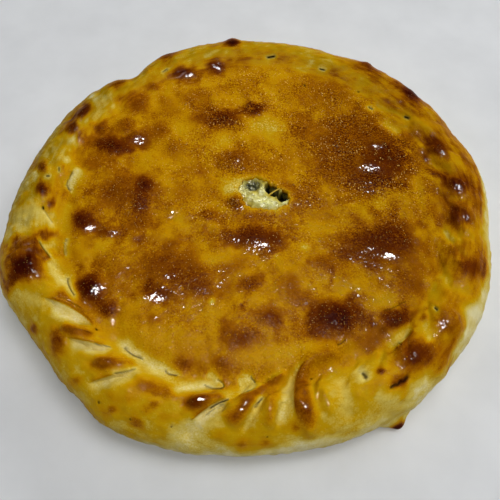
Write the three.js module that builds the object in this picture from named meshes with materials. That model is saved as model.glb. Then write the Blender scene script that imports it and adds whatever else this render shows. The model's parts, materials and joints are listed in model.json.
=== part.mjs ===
// A round stuffed flatbread: a bread crust pinched shut in slanting pleats all round its rim,
// with a torn vent near the middle of its lid that shows the filling.
// Millimetres, +Z up. The origin is on the table, under the middle of the pie; -Y is its front.
import * as THREE from "three";

// Driving dimensions of the crust's rim, from the table up and over to the seam with the lid.
const FOOT_RADIUS = 125;
const WIDEST_RADIUS = 140;
const WIDEST_HEIGHT = 15;
const CREST_RADIUS = 121;
const CREST_HEIGHT = 36;
const SEAM_RADIUS = 109;
const SEAM_HEIGHT = 31;
const SEAM_SEALED_RISE = 2.2; // the groove at the seam is this much shallower where it baked shut
const RIM_CORE = { radius: 119, height: 16 }; // the rim swells outwards from this ring

// The lid rises from the seam to a shoulder and on to a low dome.
const LID_SHOULDER_RISE = 3;
const LID_SHOULDER_REACH = 9;
const LID_DOME_RISE = 2.2;

// The crust is a shell round the filling.
const LID_THICKNESS = 6;
const BASE_THICKNESS = 5;
const CAVITY_RADIUS = 102;
const CAVITY_CORNER = 5;
const FILLING_GAP = 0.4;

// Pleats are pinched by hand, so each crease has its own seat on the seam, in degrees from +X.
const CREASE_SEATS_DEG = [
  2, 15, 26, 38, 51, 66, 83, 99, 113, 127, 140, 151, 163, 176, 189, 199,
  206, 220, 232, 242, 256, 265, 273, 281, 288, 299, 309, 319, 328, 339, 350,
];
const PLEAT_SLANT_DEG = 15; // how far a crease swings back on its way from the seam to the outside
const PLEAT_SWELL = 2.8;
const CREASE_DEPTH = 2.6;
const CREASE_WIDTH = 0.14; // of a pleat's width
const PLEAT_PEAK = 0.66; // a pleat rises gently to here, then drops steeply into the next crease
const TONGUE_REACH = 2.5; // how far the middle of a pleat laps over the lid
const DEEPEST_PLEATS_DEG = 246;
const SHALLOWEST_PLEATS = 0.28; // of the deepest
const PLEAT_FADE = { from: 0.3, to: 0.8 }; // share of the way from the seam to the widest level

// Where the outline departs from a circle: a dent or a swell, its half width and its size.
const OUTLINE_SWELLS = [
  { deg: 10, spread: 7, size: 1.6 },
  { deg: 32, spread: 30, size: 2.8 },
  { deg: 53, spread: 6, size: 2 },
  { deg: 97, spread: 13, size: 2 },
  { deg: 127, spread: 6.5, size: -7 },
  { deg: 160, spread: 16, size: -1.2 },
  { deg: 181, spread: 6, size: 1.3 },
  { deg: 197, spread: 10, size: 6.6 },
  { deg: 218, spread: 6, size: -1.4 },
  { deg: 237, spread: 5, size: 1.8 },
  { deg: 245, spread: 7, size: 2.2 },
  { deg: 255, spread: 5, size: 1.5 },
  { deg: 272, spread: 20, size: -1.8 },
  { deg: 279, spread: 6, size: -1 },
  { deg: 306, spread: 5, size: 1.4 },
  { deg: 331, spread: 7, size: 1.3 },
  { deg: 352, spread: 6, size: -1.6 },
];
const FOOT_TAG = { deg: 302.5, spread: 3.2, reach: 11.5, height: 12 }; // dough squeezed out low down

// Broad blisters on the lid, where the crust browned most.
const LID_BLISTERS = [
  { x: 74, y: -31, radius: 24, rise: 1.8 },
  { x: 44, y: -68, radius: 22, rise: 1.6 },
  { x: 76, y: 34, radius: 28, rise: 2 },
  { x: -80, y: -58, radius: 15, rise: 1.6 },
  { x: -72, y: 2, radius: 30, rise: 1.6 },
  { x: -76, y: 44, radius: 22, rise: 1.6 },
  { x: -20, y: 62, radius: 20, rise: 1.5 },
  { x: 6, y: -28, radius: 20, rise: 1.4 },
  { x: -34, y: -52, radius: 26, rise: 1.2 },
  { x: 48, y: 88, radius: 22, rise: 1.2 },
];

// The vent is a torn oval.
const VENT = { x: 4, y: 4, long: 17, short: 10, turnDeg: -12, lip: 0.9, lipReach: 7 };
const VENT_TEARS = [
  { lobes: 3, depth: 0.1, phase: 0.6 },
  { lobes: 5, depth: 0.06, phase: 2.1 },
];

// The filling shows in the vent as a low mound.
const MOUND_SHARE = 0.88; // of the vent's width at its foot
const MOUND_DROP = 2.4; // from the lid's surface down to the mound's top
const MOUND_LUMP = 0.7;

// How finely the surface is divided.
const COLUMNS_ACROSS_PLEAT = [0, 0.1, 0.26, 0.42, 0.57, 0.71, 0.84, 0.94];
const FOOT_TO_WIDEST_STEPS = 3;
const WIDEST_TO_CREST_STEPS = 6;
const CREST_TO_SEAM_STEPS = 4;
const LID_STEPS = [0.04, 0.1, 0.2, 0.34, 0.5, 0.66, 0.8, 0.92, 1];
const LID_COARSE_FROM = 5; // from this lid step inwards every fourth column is enough
const CEILING_STEPS = [0, 0.3, 0.65, 1]; // from the vent out to the cavity's corner
const BASE_STEPS = { inner: 0.4, outer: 0.8 }; // of the foot's radius
const MOUND_STEPS = [
  { share: 1, drop: 1 },
  { share: 0.9, drop: 0.45 },
  { share: 0.5, drop: 0.1 },
];

const QUARTER_TURN = Math.PI / 2;
const radians = THREE.MathUtils.degToRad;
const mix = THREE.MathUtils.lerp;
const smooth = THREE.MathUtils.smoothstep;
const bell = (distance, spread) => Math.exp(-((distance / spread) ** 2));
const angleApart = (a, b) => THREE.MathUtils.euclideanModulo(a - b + 180, 360) - 180;

// Columns run round the pie, with the same few across every pleat.
const columns = CREASE_SEATS_DEG.flatMap((seat, i) => {
  const next = CREASE_SEATS_DEG[(i + 1) % CREASE_SEATS_DEG.length];
  const width = THREE.MathUtils.euclideanModulo(next - seat, 360);
  return COLUMNS_ACROSS_PLEAT.map((across) => ({ across, seatDeg: seat + across * width }));
});
const everySecond = columns.filter((_, i) => i % 2 === 0);
const everyFourth = columns.filter((_, i) => i % 4 === 0);

// Pleats stand highest at the front left and are nearly sealed at the back right.
function pleatStrength(deg) {
  const facing = 0.5 + 0.5 * Math.cos(radians(deg - DEEPEST_PLEATS_DEG));
  return mix(SHALLOWEST_PLEATS, 1, facing);
}

// The rise across one pleat: 0 at its creases and 1 at its peak.
function pleatRise(across) {
  return across < PLEAT_PEAK
    ? 1 - (1 - across / PLEAT_PEAK) ** 2
    : 1 - ((across - PLEAT_PEAK) / (1 - PLEAT_PEAK)) ** 2.5;
}

function outlineSwell(deg) {
  return OUTLINE_SWELLS.reduce(
    (sum, s) => sum + s.size * bell(angleApart(deg, s.deg), s.spread), 0);
}

// A point of the rim. outward runs from 0 at the seam to 1 at the widest level and below it.
function rimPoint(column, radius, height, outward) {
  const deg = column.seatDeg - PLEAT_SLANT_DEG * (1 - (1 - outward) ** 2);
  const fade = 1 - smooth(outward, PLEAT_FADE.from, PLEAT_FADE.to);
  const lift = mix(0.35, 1, smooth(outward, 0, 0.2));
  const toCrease = Math.min(column.across, 1 - column.across);
  const relief = pleatStrength(deg) * fade * (
    PLEAT_SWELL * lift * pleatRise(column.across) - CREASE_DEPTH * bell(toCrease, CREASE_WIDTH));
  const lap = TONGUE_REACH * pleatStrength(deg) * pleatRise(column.across) * (1 - smooth(outward, 0, 0.3));
  const tag = FOOT_TAG.reach * bell(angleApart(deg, FOOT_TAG.deg), FOOT_TAG.spread)
    * (1 - smooth(height, 0, FOOT_TAG.height));
  const swell = outlineSwell(deg) * smooth(outward, 0, 0.7) + tag;
  const sealed = SEAM_SEALED_RISE * (1 - pleatStrength(deg)) * (1 - smooth(outward, 0, 0.35));
  const fromCore = new THREE.Vector2(radius - RIM_CORE.radius, height - RIM_CORE.height).normalize();
  const r = radius + swell - lap + relief * fromCore.x;
  return new THREE.Vector3(
    r * Math.cos(radians(deg)), r * Math.sin(radians(deg)), height + sealed + relief * fromCore.y);
}

// Rings of the rim, from its foot on the table to the seam.
function rimRings() {
  const rings = [];
  for (let i = 0; i <= FOOT_TO_WIDEST_STEPS; i++) {
    const turn = mix(-QUARTER_TURN, 0, i / FOOT_TO_WIDEST_STEPS);
    const radius = mix(FOOT_RADIUS, WIDEST_RADIUS, Math.cos(turn));
    const height = WIDEST_HEIGHT * (1 + Math.sin(turn));
    rings.push(columns.map((c) => rimPoint(c, radius, height, 1)));
  }
  const crestOutward = (CREST_RADIUS - SEAM_RADIUS) / (WIDEST_RADIUS - SEAM_RADIUS);
  for (let i = 1; i <= WIDEST_TO_CREST_STEPS; i++) {
    const share = i / WIDEST_TO_CREST_STEPS;
    const turn = QUARTER_TURN * share;
    const radius = mix(CREST_RADIUS, WIDEST_RADIUS, Math.cos(turn));
    const height = mix(WIDEST_HEIGHT, CREST_HEIGHT, Math.sin(turn));
    rings.push(columns.map((c) => rimPoint(c, radius, height, mix(1, crestOutward, share))));
  }
  for (let i = 1; i <= CREST_TO_SEAM_STEPS; i++) {
    const share = i / CREST_TO_SEAM_STEPS;
    const radius = mix(CREST_RADIUS, SEAM_RADIUS, share);
    const height = mix(CREST_HEIGHT, SEAM_HEIGHT, smooth(share, 0, 1));
    rings.push(columns.map((c) => rimPoint(c, radius, height, mix(crestOutward, 0, share))));
  }
  return rings;
}

// A point on the vent's torn edge, or inside it for a share below 1.
function ventPoint(column, share = 1) {
  const turn = radians(column.seatDeg - VENT.turnDeg);
  const torn = VENT_TEARS.reduce((sum, t) => sum + t.depth * Math.cos(t.lobes * turn + t.phase), 1);
  const edge = new THREE.Vector2(VENT.long * Math.cos(turn), VENT.short * Math.sin(turn));
  edge.multiplyScalar(torn * share).rotateAround(new THREE.Vector2(), radians(VENT.turnDeg));
  return edge.add(new THREE.Vector2(VENT.x, VENT.y));
}

// The lid's plain form: a shoulder that rises from the seam, and a low dome.
function lidForm(x, y) {
  const radius = Math.hypot(x, y);
  const inside = Math.max(0, SEAM_RADIUS - radius);
  const shoulder = LID_SHOULDER_RISE * (1 - Math.exp(-inside / LID_SHOULDER_REACH));
  const dome = LID_DOME_RISE * (1 - (radius / SEAM_RADIUS) ** 2);
  return SEAM_HEIGHT + shoulder + dome;
}

// The lid's outer surface, with its blisters and the raised lip round the vent.
function lidHeight(x, y) {
  const blisters = LID_BLISTERS.reduce(
    (sum, b) => sum + b.rise * bell(Math.hypot(x - b.x, y - b.y), b.radius * 0.7), 0);
  const lip = VENT.lip * bell(Math.hypot(x - VENT.x, y - VENT.y) - VENT.long, VENT.lipReach);
  return lidForm(x, y) + blisters + lip;
}

// Rings of the lid, from beside the seam to the vent's edge.
function lidRings(seam) {
  return LID_STEPS.map((share, i) => {
    const ring = i < LID_COARSE_FROM ? everySecond : everyFourth;
    return ring.map((column) => {
      const start = seam[columns.indexOf(column)];
      const end = ventPoint(column);
      const x = mix(start.x, end.x, share);
      const y = mix(start.y, end.y, share);
      const z = mix(start.z, lidHeight(x, y), smooth(share, 0, LID_STEPS[1]));
      return new THREE.Vector3(x, y, z);
    });
  });
}

// Rings of the cavity, from under the vent's edge out to the side and in along the floor.
// clearance draws the same rings in on all sides, as the filling needs.
function cavityRings(clearance) {
  const reach = CAVITY_RADIUS - clearance;
  const floor = BASE_THICKNESS + clearance;
  const rings = CEILING_STEPS.map((share) =>
    everyFourth.map((column) => {
      const start = ventPoint(column);
      const turn = radians(column.seatDeg);
      const x = mix(start.x, (reach - CAVITY_CORNER) * Math.cos(turn), share);
      const y = mix(start.y, (reach - CAVITY_CORNER) * Math.sin(turn), share);
      return new THREE.Vector3(x, y, lidForm(x, y) - LID_THICKNESS - clearance);
    }));
  const around = (radius, height) =>
    everyFourth.map((column) => {
      const turn = radians(column.seatDeg);
      return new THREE.Vector3(radius * Math.cos(turn), radius * Math.sin(turn), height);
    });
  const sideTop = SEAM_HEIGHT - LID_THICKNESS - CAVITY_CORNER;
  rings.push(around(reach, sideTop));
  rings.push(around(reach, floor + CAVITY_CORNER));
  rings.push(around(reach - CAVITY_CORNER, floor));
  return rings;
}

// A closed surface through rings that each run anticlockwise seen from above, from one middle
// point to another. Neighbouring rings have the same number of points, or twice or half as many.
function skin(startPoint, rings, endPoint) {
  const points = [startPoint, ...rings.flat(), endPoint];
  const firsts = [1];
  for (const ring of rings.slice(0, -1)) firsts.push(firsts.at(-1) + ring.length);
  const triangles = [];
  const fan = (middle, ring, first, inwards) => ring.forEach((_, j) => {
    const here = first + j;
    const next = first + (j + 1) % ring.length;
    triangles.push(...(inwards ? [here, next, middle] : [middle, next, here]));
  });
  const band = (i) => {
    const [a, b] = [rings[i], rings[i + 1]];
    const steps = Math.min(a.length, b.length);
    const at = (k, ring, j) => firsts[k] + ((j + ring.length) % ring.length);
    for (let j = 0; j < steps; j++) {
      if (a.length === b.length) {
        triangles.push(at(i, a, j), at(i, a, j + 1), at(i + 1, b, j + 1));
        triangles.push(at(i, a, j), at(i + 1, b, j + 1), at(i + 1, b, j));
      } else if (a.length > b.length) {
        triangles.push(at(i, a, 2 * j), at(i, a, 2 * j + 1), at(i + 1, b, j));
        triangles.push(at(i, a, 2 * j + 1), at(i + 1, b, j + 1), at(i + 1, b, j));
        triangles.push(at(i, a, 2 * j + 1), at(i, a, 2 * j + 2), at(i + 1, b, j + 1));
      } else {
        triangles.push(at(i, a, j), at(i + 1, b, 2 * j + 1), at(i + 1, b, 2 * j));
        triangles.push(at(i, a, j), at(i, a, j + 1), at(i + 1, b, 2 * j + 1));
        triangles.push(at(i, a, j + 1), at(i + 1, b, 2 * j + 2), at(i + 1, b, 2 * j + 1));
      }
    }
  };
  fan(0, rings[0], firsts[0], false);
  for (let i = 0; i + 1 < rings.length; i++) band(i);
  fan(points.length - 1, rings.at(-1), firsts.at(-1), true);
  const geometry = new THREE.BufferGeometry().setFromPoints(points).setIndex(triangles);
  geometry.computeVertexNormals();
  return geometry;
}

// The crust: flat base, rim, lid, vent wall, and the cavity that the filling takes up.
function crustGeometry() {
  const rim = rimRings();
  const footPoint = (column, share) => rim[0][columns.indexOf(column)].clone().multiplyScalar(share);
  const base = [
    everyFourth.map((column) => footPoint(column, BASE_STEPS.inner)),
    everySecond.map((column) => footPoint(column, BASE_STEPS.outer)),
  ];
  const middle = new THREE.Vector3(0, 0, 0);
  const cavityFloor = new THREE.Vector3(0, 0, BASE_THICKNESS);
  return skin(middle, [...base, ...rim, ...lidRings(rim.at(-1)), ...cavityRings(0)], cavityFloor);
}

// The filling: it takes up the cavity and rises in the vent as a lumpy mound.
function fillingGeometry() {
  const body = cavityRings(FILLING_GAP).reverse();
  const mound = MOUND_STEPS.map(({ share, drop }) =>
    everyFourth.map((column) => {
      const at = ventPoint(column, MOUND_SHARE * share);
      const lump = MOUND_LUMP * Math.sin(3 * radians(column.seatDeg)) * (1 - drop);
      const fall = mix(MOUND_DROP, LID_THICKNESS + FILLING_GAP, drop);
      return new THREE.Vector3(at.x, at.y, lidForm(at.x, at.y) - fall - lump);
    }));
  const bottom = new THREE.Vector3(0, 0, BASE_THICKNESS + FILLING_GAP);
  const top = new THREE.Vector3(VENT.x, VENT.y, lidForm(VENT.x, VENT.y) - MOUND_DROP);
  return skin(bottom, [...body, ...mound], top);
}

const bakedDough = new THREE.MeshStandardMaterial({ color: 0xb27d12, roughness: 0.38, metalness: 0 });
const herbFilling = new THREE.MeshStandardMaterial({ color: 0xcfc487, roughness: 0.55, metalness: 0 });

const crust = new THREE.Mesh(crustGeometry(), bakedDough);
crust.name = "crust";
const filling = new THREE.Mesh(fillingGeometry(), herbFilling);
filling.name = "filling";

const pie = new THREE.Group();
pie.add(crust, filling);
export default pie;
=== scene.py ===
import json
import math
from collections import namedtuple

import bmesh
import bpy
import numpy as np
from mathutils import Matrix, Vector

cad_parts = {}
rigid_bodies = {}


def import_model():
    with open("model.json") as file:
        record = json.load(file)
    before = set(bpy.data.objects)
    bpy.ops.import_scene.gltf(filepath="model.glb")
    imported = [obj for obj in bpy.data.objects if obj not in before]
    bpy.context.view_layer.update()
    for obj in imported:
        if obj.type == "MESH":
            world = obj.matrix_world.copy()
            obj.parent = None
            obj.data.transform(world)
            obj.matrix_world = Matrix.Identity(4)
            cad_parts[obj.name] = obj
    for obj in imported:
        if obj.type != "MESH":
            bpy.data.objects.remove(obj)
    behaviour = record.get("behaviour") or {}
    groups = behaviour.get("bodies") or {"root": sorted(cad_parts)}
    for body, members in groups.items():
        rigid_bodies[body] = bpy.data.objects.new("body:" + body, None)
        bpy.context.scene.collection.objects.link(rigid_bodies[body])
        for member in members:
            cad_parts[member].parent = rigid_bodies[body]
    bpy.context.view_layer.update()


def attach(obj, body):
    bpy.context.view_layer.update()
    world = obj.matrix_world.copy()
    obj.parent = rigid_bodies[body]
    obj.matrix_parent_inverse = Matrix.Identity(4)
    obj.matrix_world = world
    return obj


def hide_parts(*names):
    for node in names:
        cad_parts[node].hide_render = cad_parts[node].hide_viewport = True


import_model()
MM = 0.001

# The camera stands in front of the pie and looks down on it, in millimetres and degrees.
CAMERA_AIM = (0.0, -24.3, 18.0)
CAMERA_ELEVATION = 59.15
CAMERA_DISTANCE = 354.2
CAMERA_FIELD = 44.0
PHOTO_SIZE = 500

# The crust's plain form, with the same sizes as its solid.
FOOT_RADIUS = 125
WIDEST_RADIUS = 140
WIDEST_HEIGHT = 15
CREST_RADIUS = 121
CREST_HEIGHT = 36
SEAM_RADIUS = 109
SEAM_HEIGHT = 31
SEAM_SEALED_RISE = 2.2
RIM_CORE = (119, 16)
LID_SHOULDER_RISE = 3
LID_SHOULDER_REACH = 9
LID_DOME_RISE = 2.2
LID_THICKNESS = 6
BASE_THICKNESS = 5
CAVITY_RADIUS = 102
CAVITY_CORNER = 5
FILLING_GAP = 0.4

# The pleats: the direction of each crease at the seam, in degrees, and how the dough swells between them.
CREASE_SEATS = (
    2, 15, 26, 38, 51, 66, 83, 99, 113, 127, 140, 151, 163, 176, 189, 199,
    206, 220, 232, 242, 256, 265, 273, 281, 288, 299, 309, 319, 328, 339, 350,
)
PLEAT_SLANT = 15
PLEAT_SWELL = 2.8
CREASE_DEPTH = 2.6
CREASE_WIDTH = 0.14
PLEAT_PEAK = 0.66
PLEAT_FADE = (0.3, 0.8)
PLEAT_FALL_POWER = 2.5
PLEAT_SEAM_LIFT = 0.35
PLEAT_SEAM_REACH = 0.2
DEEPEST_PLEATS = 246
SHALLOWEST_PLEATS = 0.28
# The pleats' rule holds less at the front, where strokes and laps shape them, than at the back.
RULED_PLEATS = (0.2, 0.6)
RULED_SIDE = 70
RULED_TURN = (0.2, 0.8)
SEALED_REACH = 0.35
SWELL_REACH = 0.7

# Swells of the outline: direction and spread in degrees, size in millimetres.
Swell = namedtuple("Swell", "deg spread size")
OUTLINE_SWELLS = (
    Swell(10, 7, 1.6),
    Swell(32, 30, 2.8),
    Swell(53, 6, 2),
    Swell(97, 13, 2),
    Swell(127, 6.5, -7),
    Swell(160, 16, -1.2),
    Swell(181, 6, 1.3),
    Swell(197, 10, 6.6),
    Swell(218, 6, -1.4),
    Swell(237, 5, 1.8),
    Swell(245, 7, 2.2),
    Swell(255, 5, 1.5),
    Swell(272, 20, -1.8),
    Swell(279, 6, -1),
    Swell(306, 5, 1.4),
    Swell(331, 7, 1.3),
    Swell(352, 6, -1.6),
)
FOOT_TAG = Swell(302.5, 3.2, 11.5)
FOOT_TAG_HEIGHT = 12

# How brown the lid and the pale dough are, and round the pie by direction in degrees
# how brown the rim's top and its wall are and up to which height the wall stays pale.
LID_BAKE = 0.46
PALE_BAKE = 0.08
RIM_BAKE = (
    (0, 0.54), (30, 0.48), (75, 0.35), (105, 0.34), (130, 0.32), (155, 0.27), (180, 0.27),
    (205, 0.32), (230, 0.32), (260, 0.29), (285, 0.25), (310, 0.33), (335, 0.47),
)
WALL_BAKE = (
    (0, 0.22), (45, 0.30), (90, 0.33), (150, 0.30), (185, 0.22), (205, 0.20), (215, 0.24), (230, 0.28),
    (260, 0.25), (285, 0.22), (310, 0.20), (335, 0.16),
)
PALE_WALL = (
    (0, 30.5), (20, 28), (45, 20), (70, 16), (110, 16), (150, 14), (180, 17), (200, 20), (212, 12),
    (235, 9), (248, 15), (260, 20), (270, 22), (280, 22.5), (290, 24), (300, 29), (310, 31.5),
    (325, 32.5), (333, 32), (342, 31.5), (352, 31),
)
# How much painted shade tones down the rim's top and its wall round the pie, making them darker, duller and
# more olive.
RIM_PAINTED_SHADE = (
    (0, 0.17), (45, 0.42), (75, 0.46), (105, 0.55), (130, 0.75), (155, 1.1), (175, 1.0), (188, 0.5),
    (205, 0.2), (225, 0.1), (245, 0.0), (300, 0.0), (335, 0.13),
)
WALL_PAINTED_SHADE = (
    (0, 0.08), (45, 0.34), (105, 0.5), (155, 0.5), (190, 0.0), (205, 0.08), (222, 0.65), (245, 0.55),
    (265, 0.45), (285, 0.45), (305, 0.08), (335, 0.0),
)

# Marks on the crust are placed by where they show in the 500 by 500 picture.
# A blotch has half sizes in pixels, a turn in degrees, a bake level to reach and a rise in millimetres.
Blotch = namedtuple("Blotch", "u v wide tall turn level rise")
LID_BLOTCHES = (
    Blotch(305, 247, 4.5, 3.5, 20, 0.16, 0.4),
    Blotch(212, 301, 2.6, 3, 0, 0.05, 0.5),
    Blotch(383, 158, 33, 26, -10, 0.79, 1.6),
    Blotch(345, 136, 24, 18, 10, 0.70, 0.6),
    Blotch(372, 178, 24, 12, 0, 0.76, 0.8),
    Blotch(330, 92, 22, 13, 10, 0.62, 0.6),
    Blotch(383, 242, 38, 21, -4, 0.79, 1.8),
    Blotch(335, 316, 27, 18, 0, 0.86, 1.6),
    Blotch(325, 263, 13, 9, 0, 0.66, 0.5),
    Blotch(256, 236, 34, 11, 2, 0.79, 1.2),
    Blotch(175, 270, 38, 22, 10, 0.69, 1.2),
    Blotch(158, 291, 20, 9, 10, 0.74, 0.8),
    Blotch(200, 284, 14, 12, 0, 0.70, 0.5),
    Blotch(91, 287, 13, 15, 20, 0.90, 1.8),
    Blotch(108, 309, 9, 11, 40, 0.78, 1.0),
    Blotch(124, 192, 32, 20, 0, 0.67, 1.4),
    Blotch(144, 186, 9, 8, 0, 0.82, 0.4),
    Blotch(140, 206, 9, 8, 0, 0.78, 0.3),
    Blotch(138, 221, 15, 9, 0, 0.66, 0.5),
    Blotch(82, 220, 13, 10, 10, 0.84, 1.4),
    Blotch(106, 232, 14, 6, 10, 0.70, 0.8),
    Blotch(138, 240, 8, 5, 0, 0.70, 0.4),
    Blotch(114, 145, 22, 9, 5, 0.82, 1.4),
    Blotch(138, 139, 14, 8, 0, 0.72, 1.0),
    Blotch(100, 127, 10, 7, 0, 0.66, 0.6),
    Blotch(126, 126, 10, 6, 0, 0.64, 0.5),
    Blotch(160, 130, 12, 10, 0, 0.62, 0.3),
    Blotch(95, 164, 10, 6, 0, 0.64, 0.4),
    Blotch(181, 72, 15, 9, 5, 0.78, 1.4),
    Blotch(216, 67, 10, 8, 0, 0.76, 1.2),
    Blotch(243, 59, 8, 5, 0, 0.60, 0.4),
    Blotch(137, 103, 12, 10, 20, 0.68, 0.8),
    Blotch(152, 87, 8, 4, 0, 0.62, 0.4),
    Blotch(222, 117, 18, 9, 0, 0.78, 1.2),
    Blotch(202, 117, 12, 8, 0, 0.68, 0.6),
    Blotch(255, 110, 11, 7, 0, 0.88, 1.0),
    Blotch(236, 159, 15, 11, 0, 0.68, 1.4),
    Blotch(253, 283, 9, 8, 0, 0.70, 0.5),
    Blotch(269, 316, 14, 10, 0, 0.72, 0.7),
    Blotch(239, 337, 21, 13, -5, 0.70, 0.8),
    Blotch(291, 281, 9, 6, 0, 0.62, 0.3),
    Blotch(184, 364, 13, 9, 0, 0.68, 0.7),
    Blotch(222, 363, 9, 8, 0, 0.66, 0.5),
    Blotch(208, 215, 8, 6, 0, 0.68, 0.5),
    Blotch(237, 201, 8, 6.5, 10, 0.78, 2.0),
    Blotch(269, 126, 17, 11, 10, 0.25, 0.0),
    Blotch(300, 128, 16, 14, 0, 0.63, 0.2),
    Blotch(334, 158, 26, 30, 0, 0.67, 0.2),
    Blotch(305, 200, 24, 13, 0, 0.60, 0.0),
    Blotch(258, 217, 22, 6, 0, 0.62, 0.0),
    Blotch(262, 168, 24, 9, 0, 0.58, 0.0),
    Blotch(310, 100, 22, 14, 0, 0.56, 0.0),
    Blotch(362, 134, 26, 10, -10, 0.68, 0.0),
    Blotch(290, 188, 18, 8, 0, 0.60, 0.0),
    Blotch(225, 196, 10, 8, 0, 0.58, 0.0),
    Blotch(418, 268, 10, 12, 0, 0.60, 0.2),
    Blotch(408, 285, 18, 14, 0, 0.64, 0.3),
    Blotch(198, 95, 16, 9, 0, 0.58, 0.3),
    Blotch(170, 108, 12, 8, 0, 0.54, 0.2),
    Blotch(320, 332, 14, 9, 0, 0.74, 0.4),
    Blotch(372, 338, 16, 14, 0, 0.62, 0.3),
    Blotch(112, 272, 12, 22, 0, 0.58, 0.2),
    Blotch(298, 300, 14, 8, 0, 0.62, 0.2),
    Blotch(355, 252, 14, 9, 0, 0.72, 0.2),
    Blotch(225, 268, 14, 10, 0, 0.60, 0.2),
    Blotch(185, 192, 16, 12, 0, 0.55, 0.1),
    Blotch(220, 190, 10, 8, 0, 0.58, 0.1),
    Blotch(175, 148, 14, 10, 0, 0.56, 0.1),
    Blotch(365, 122, 12, 10, 0, 0.66, 0.3),
    Blotch(120, 338, 18, 10, 0, 0.40, 0.0),
    Blotch(320, 228, 20, 9, 0, 0.40, 0.0),
    Blotch(214, 258, 13, 6, 0, 0.36, 0.0),
    Blotch(229, 188, 10, 7, -10, 0.20, 0.2),
    Blotch(239, 183, 9, 6, 0, 0.17, 0.2),
    Blotch(290, 352, 34, 10, -8, 0.36, 0.0),
    Blotch(382, 300, 14, 7, -20, 0.36, 0.0),
    Blotch(180, 128, 8, 8, 0, 0.34, 0.0),
    Blotch(224, 140, 8, 6, 0, 0.32, 0.0),
    Blotch(150, 338, 40, 14, 10, 0.42, 0.0),
)
RIM_BLOTCHES = (
    Blotch(24, 262, 18, 19, 20, 0.90, 2.0),
    Blotch(46, 233, 14, 6, -10, 0.74, 0.8),
    Blotch(28, 242, 12, 5, -25, 0.66, 0.6),
    Blotch(280, 58, 14, 6, 0, 0.56, 0.2),
    Blotch(372, 70, 14, 8, 20, 0.62, 0.4),
    Blotch(152, 388, 22, 9, 10, 0.60, 0.3),
    Blotch(178, 393, 14, 7, 0, 0.60, 0.3),
    Blotch(385, 392, 20, 16, 0, 0.44, 1.2),
    Blotch(43, 190, 7, 7, 0, 0.84, 1.2),
    Blotch(51, 203, 5, 4, 0, 0.72, 0.6),
    Blotch(42, 166, 6, 6, 0, 0.70, 0.8),
    Blotch(84, 111, 10, 5, -40, 0.82, 1.2),
    Blotch(73, 127, 8, 7, -40, 0.80, 1.2),
    Blotch(120, 84, 10, 5, -15, 0.66, 0.8),
    Blotch(134, 97, 9, 5, -15, 0.64, 0.5),
    Blotch(168, 55, 12, 4, -20, 0.68, 0.6),
    Blotch(233, 42, 8, 4, 0, 0.90, 2.0),
    Blotch(409, 93, 12, 5, 35, 0.88, 0.8),
    Blotch(367, 65, 5, 3, 20, 0.74, 1.0),
    Blotch(438, 148, 11, 7, 10, 0.82, 1.8),
    Blotch(436, 172, 11, 4, 15, 0.74, 0.8),
    Blotch(457, 183, 11, 7, 15, 0.82, 1.8),
    Blotch(460, 214, 13, 10, 0, 0.76, 1.8),
    Blotch(471, 268, 15, 11, 0, 0.74, 1.4),
    Blotch(398, 320, 19, 10, -15, 0.80, 2.2),
    Blotch(417, 354, 21, 17, 0, 0.76, 1.8),
    Blotch(448, 324, 12, 13, 0, 0.68, 1.8),
    Blotch(58, 342, 9, 11, 0, 0.70, 0.8),
    Blotch(76, 331, 12, 6, 10, 0.78, 1.4),
    Blotch(106, 363, 11, 7, 0, 0.82, 1.6),
    Blotch(200, 401, 13, 8, -15, 0.84, 1.6),
    Blotch(33, 329, 4, 5, 0, 0.62, 0.3),
    Blotch(112, 410, 5, 5, 0, 0.56, 0.3),
    Blotch(136, 423, 6, 5, 0, 0.58, 0.3),
    Blotch(154, 404, 6, 5, 0, 0.58, 0.4),
    Blotch(76, 380, 5, 5, 0, 0.56, 0.3),
    Blotch(242, 444, 6, 4, 10, 0.54, 0.2),
    Blotch(266, 443, 6, 4, -10, 0.54, 0.2),
    Blotch(248, 431, 4, 3, 0, 0.46, 0.2),
    Blotch(296, 428, 4, 3, 0, 0.58, 0.4),
    Blotch(165, 417, 5, 4, 0, 0.46, 0.2),
    Blotch(180, 418, 5, 4, 0, 0.46, 0.2),
    Blotch(147, 410, 7, 5, 0, 0.48, 0.2),
    Blotch(130, 397, 5, 5, 0, 0.46, 0.2),
    Blotch(399, 382.5, 11, 5, -30, 0.76, 0.0),
    Blotch(381, 371, 6, 4, 0, 0.78, 0.3),
    Blotch(397, 428, 7, 3, -20, 0.92, 0.3),
)

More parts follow.
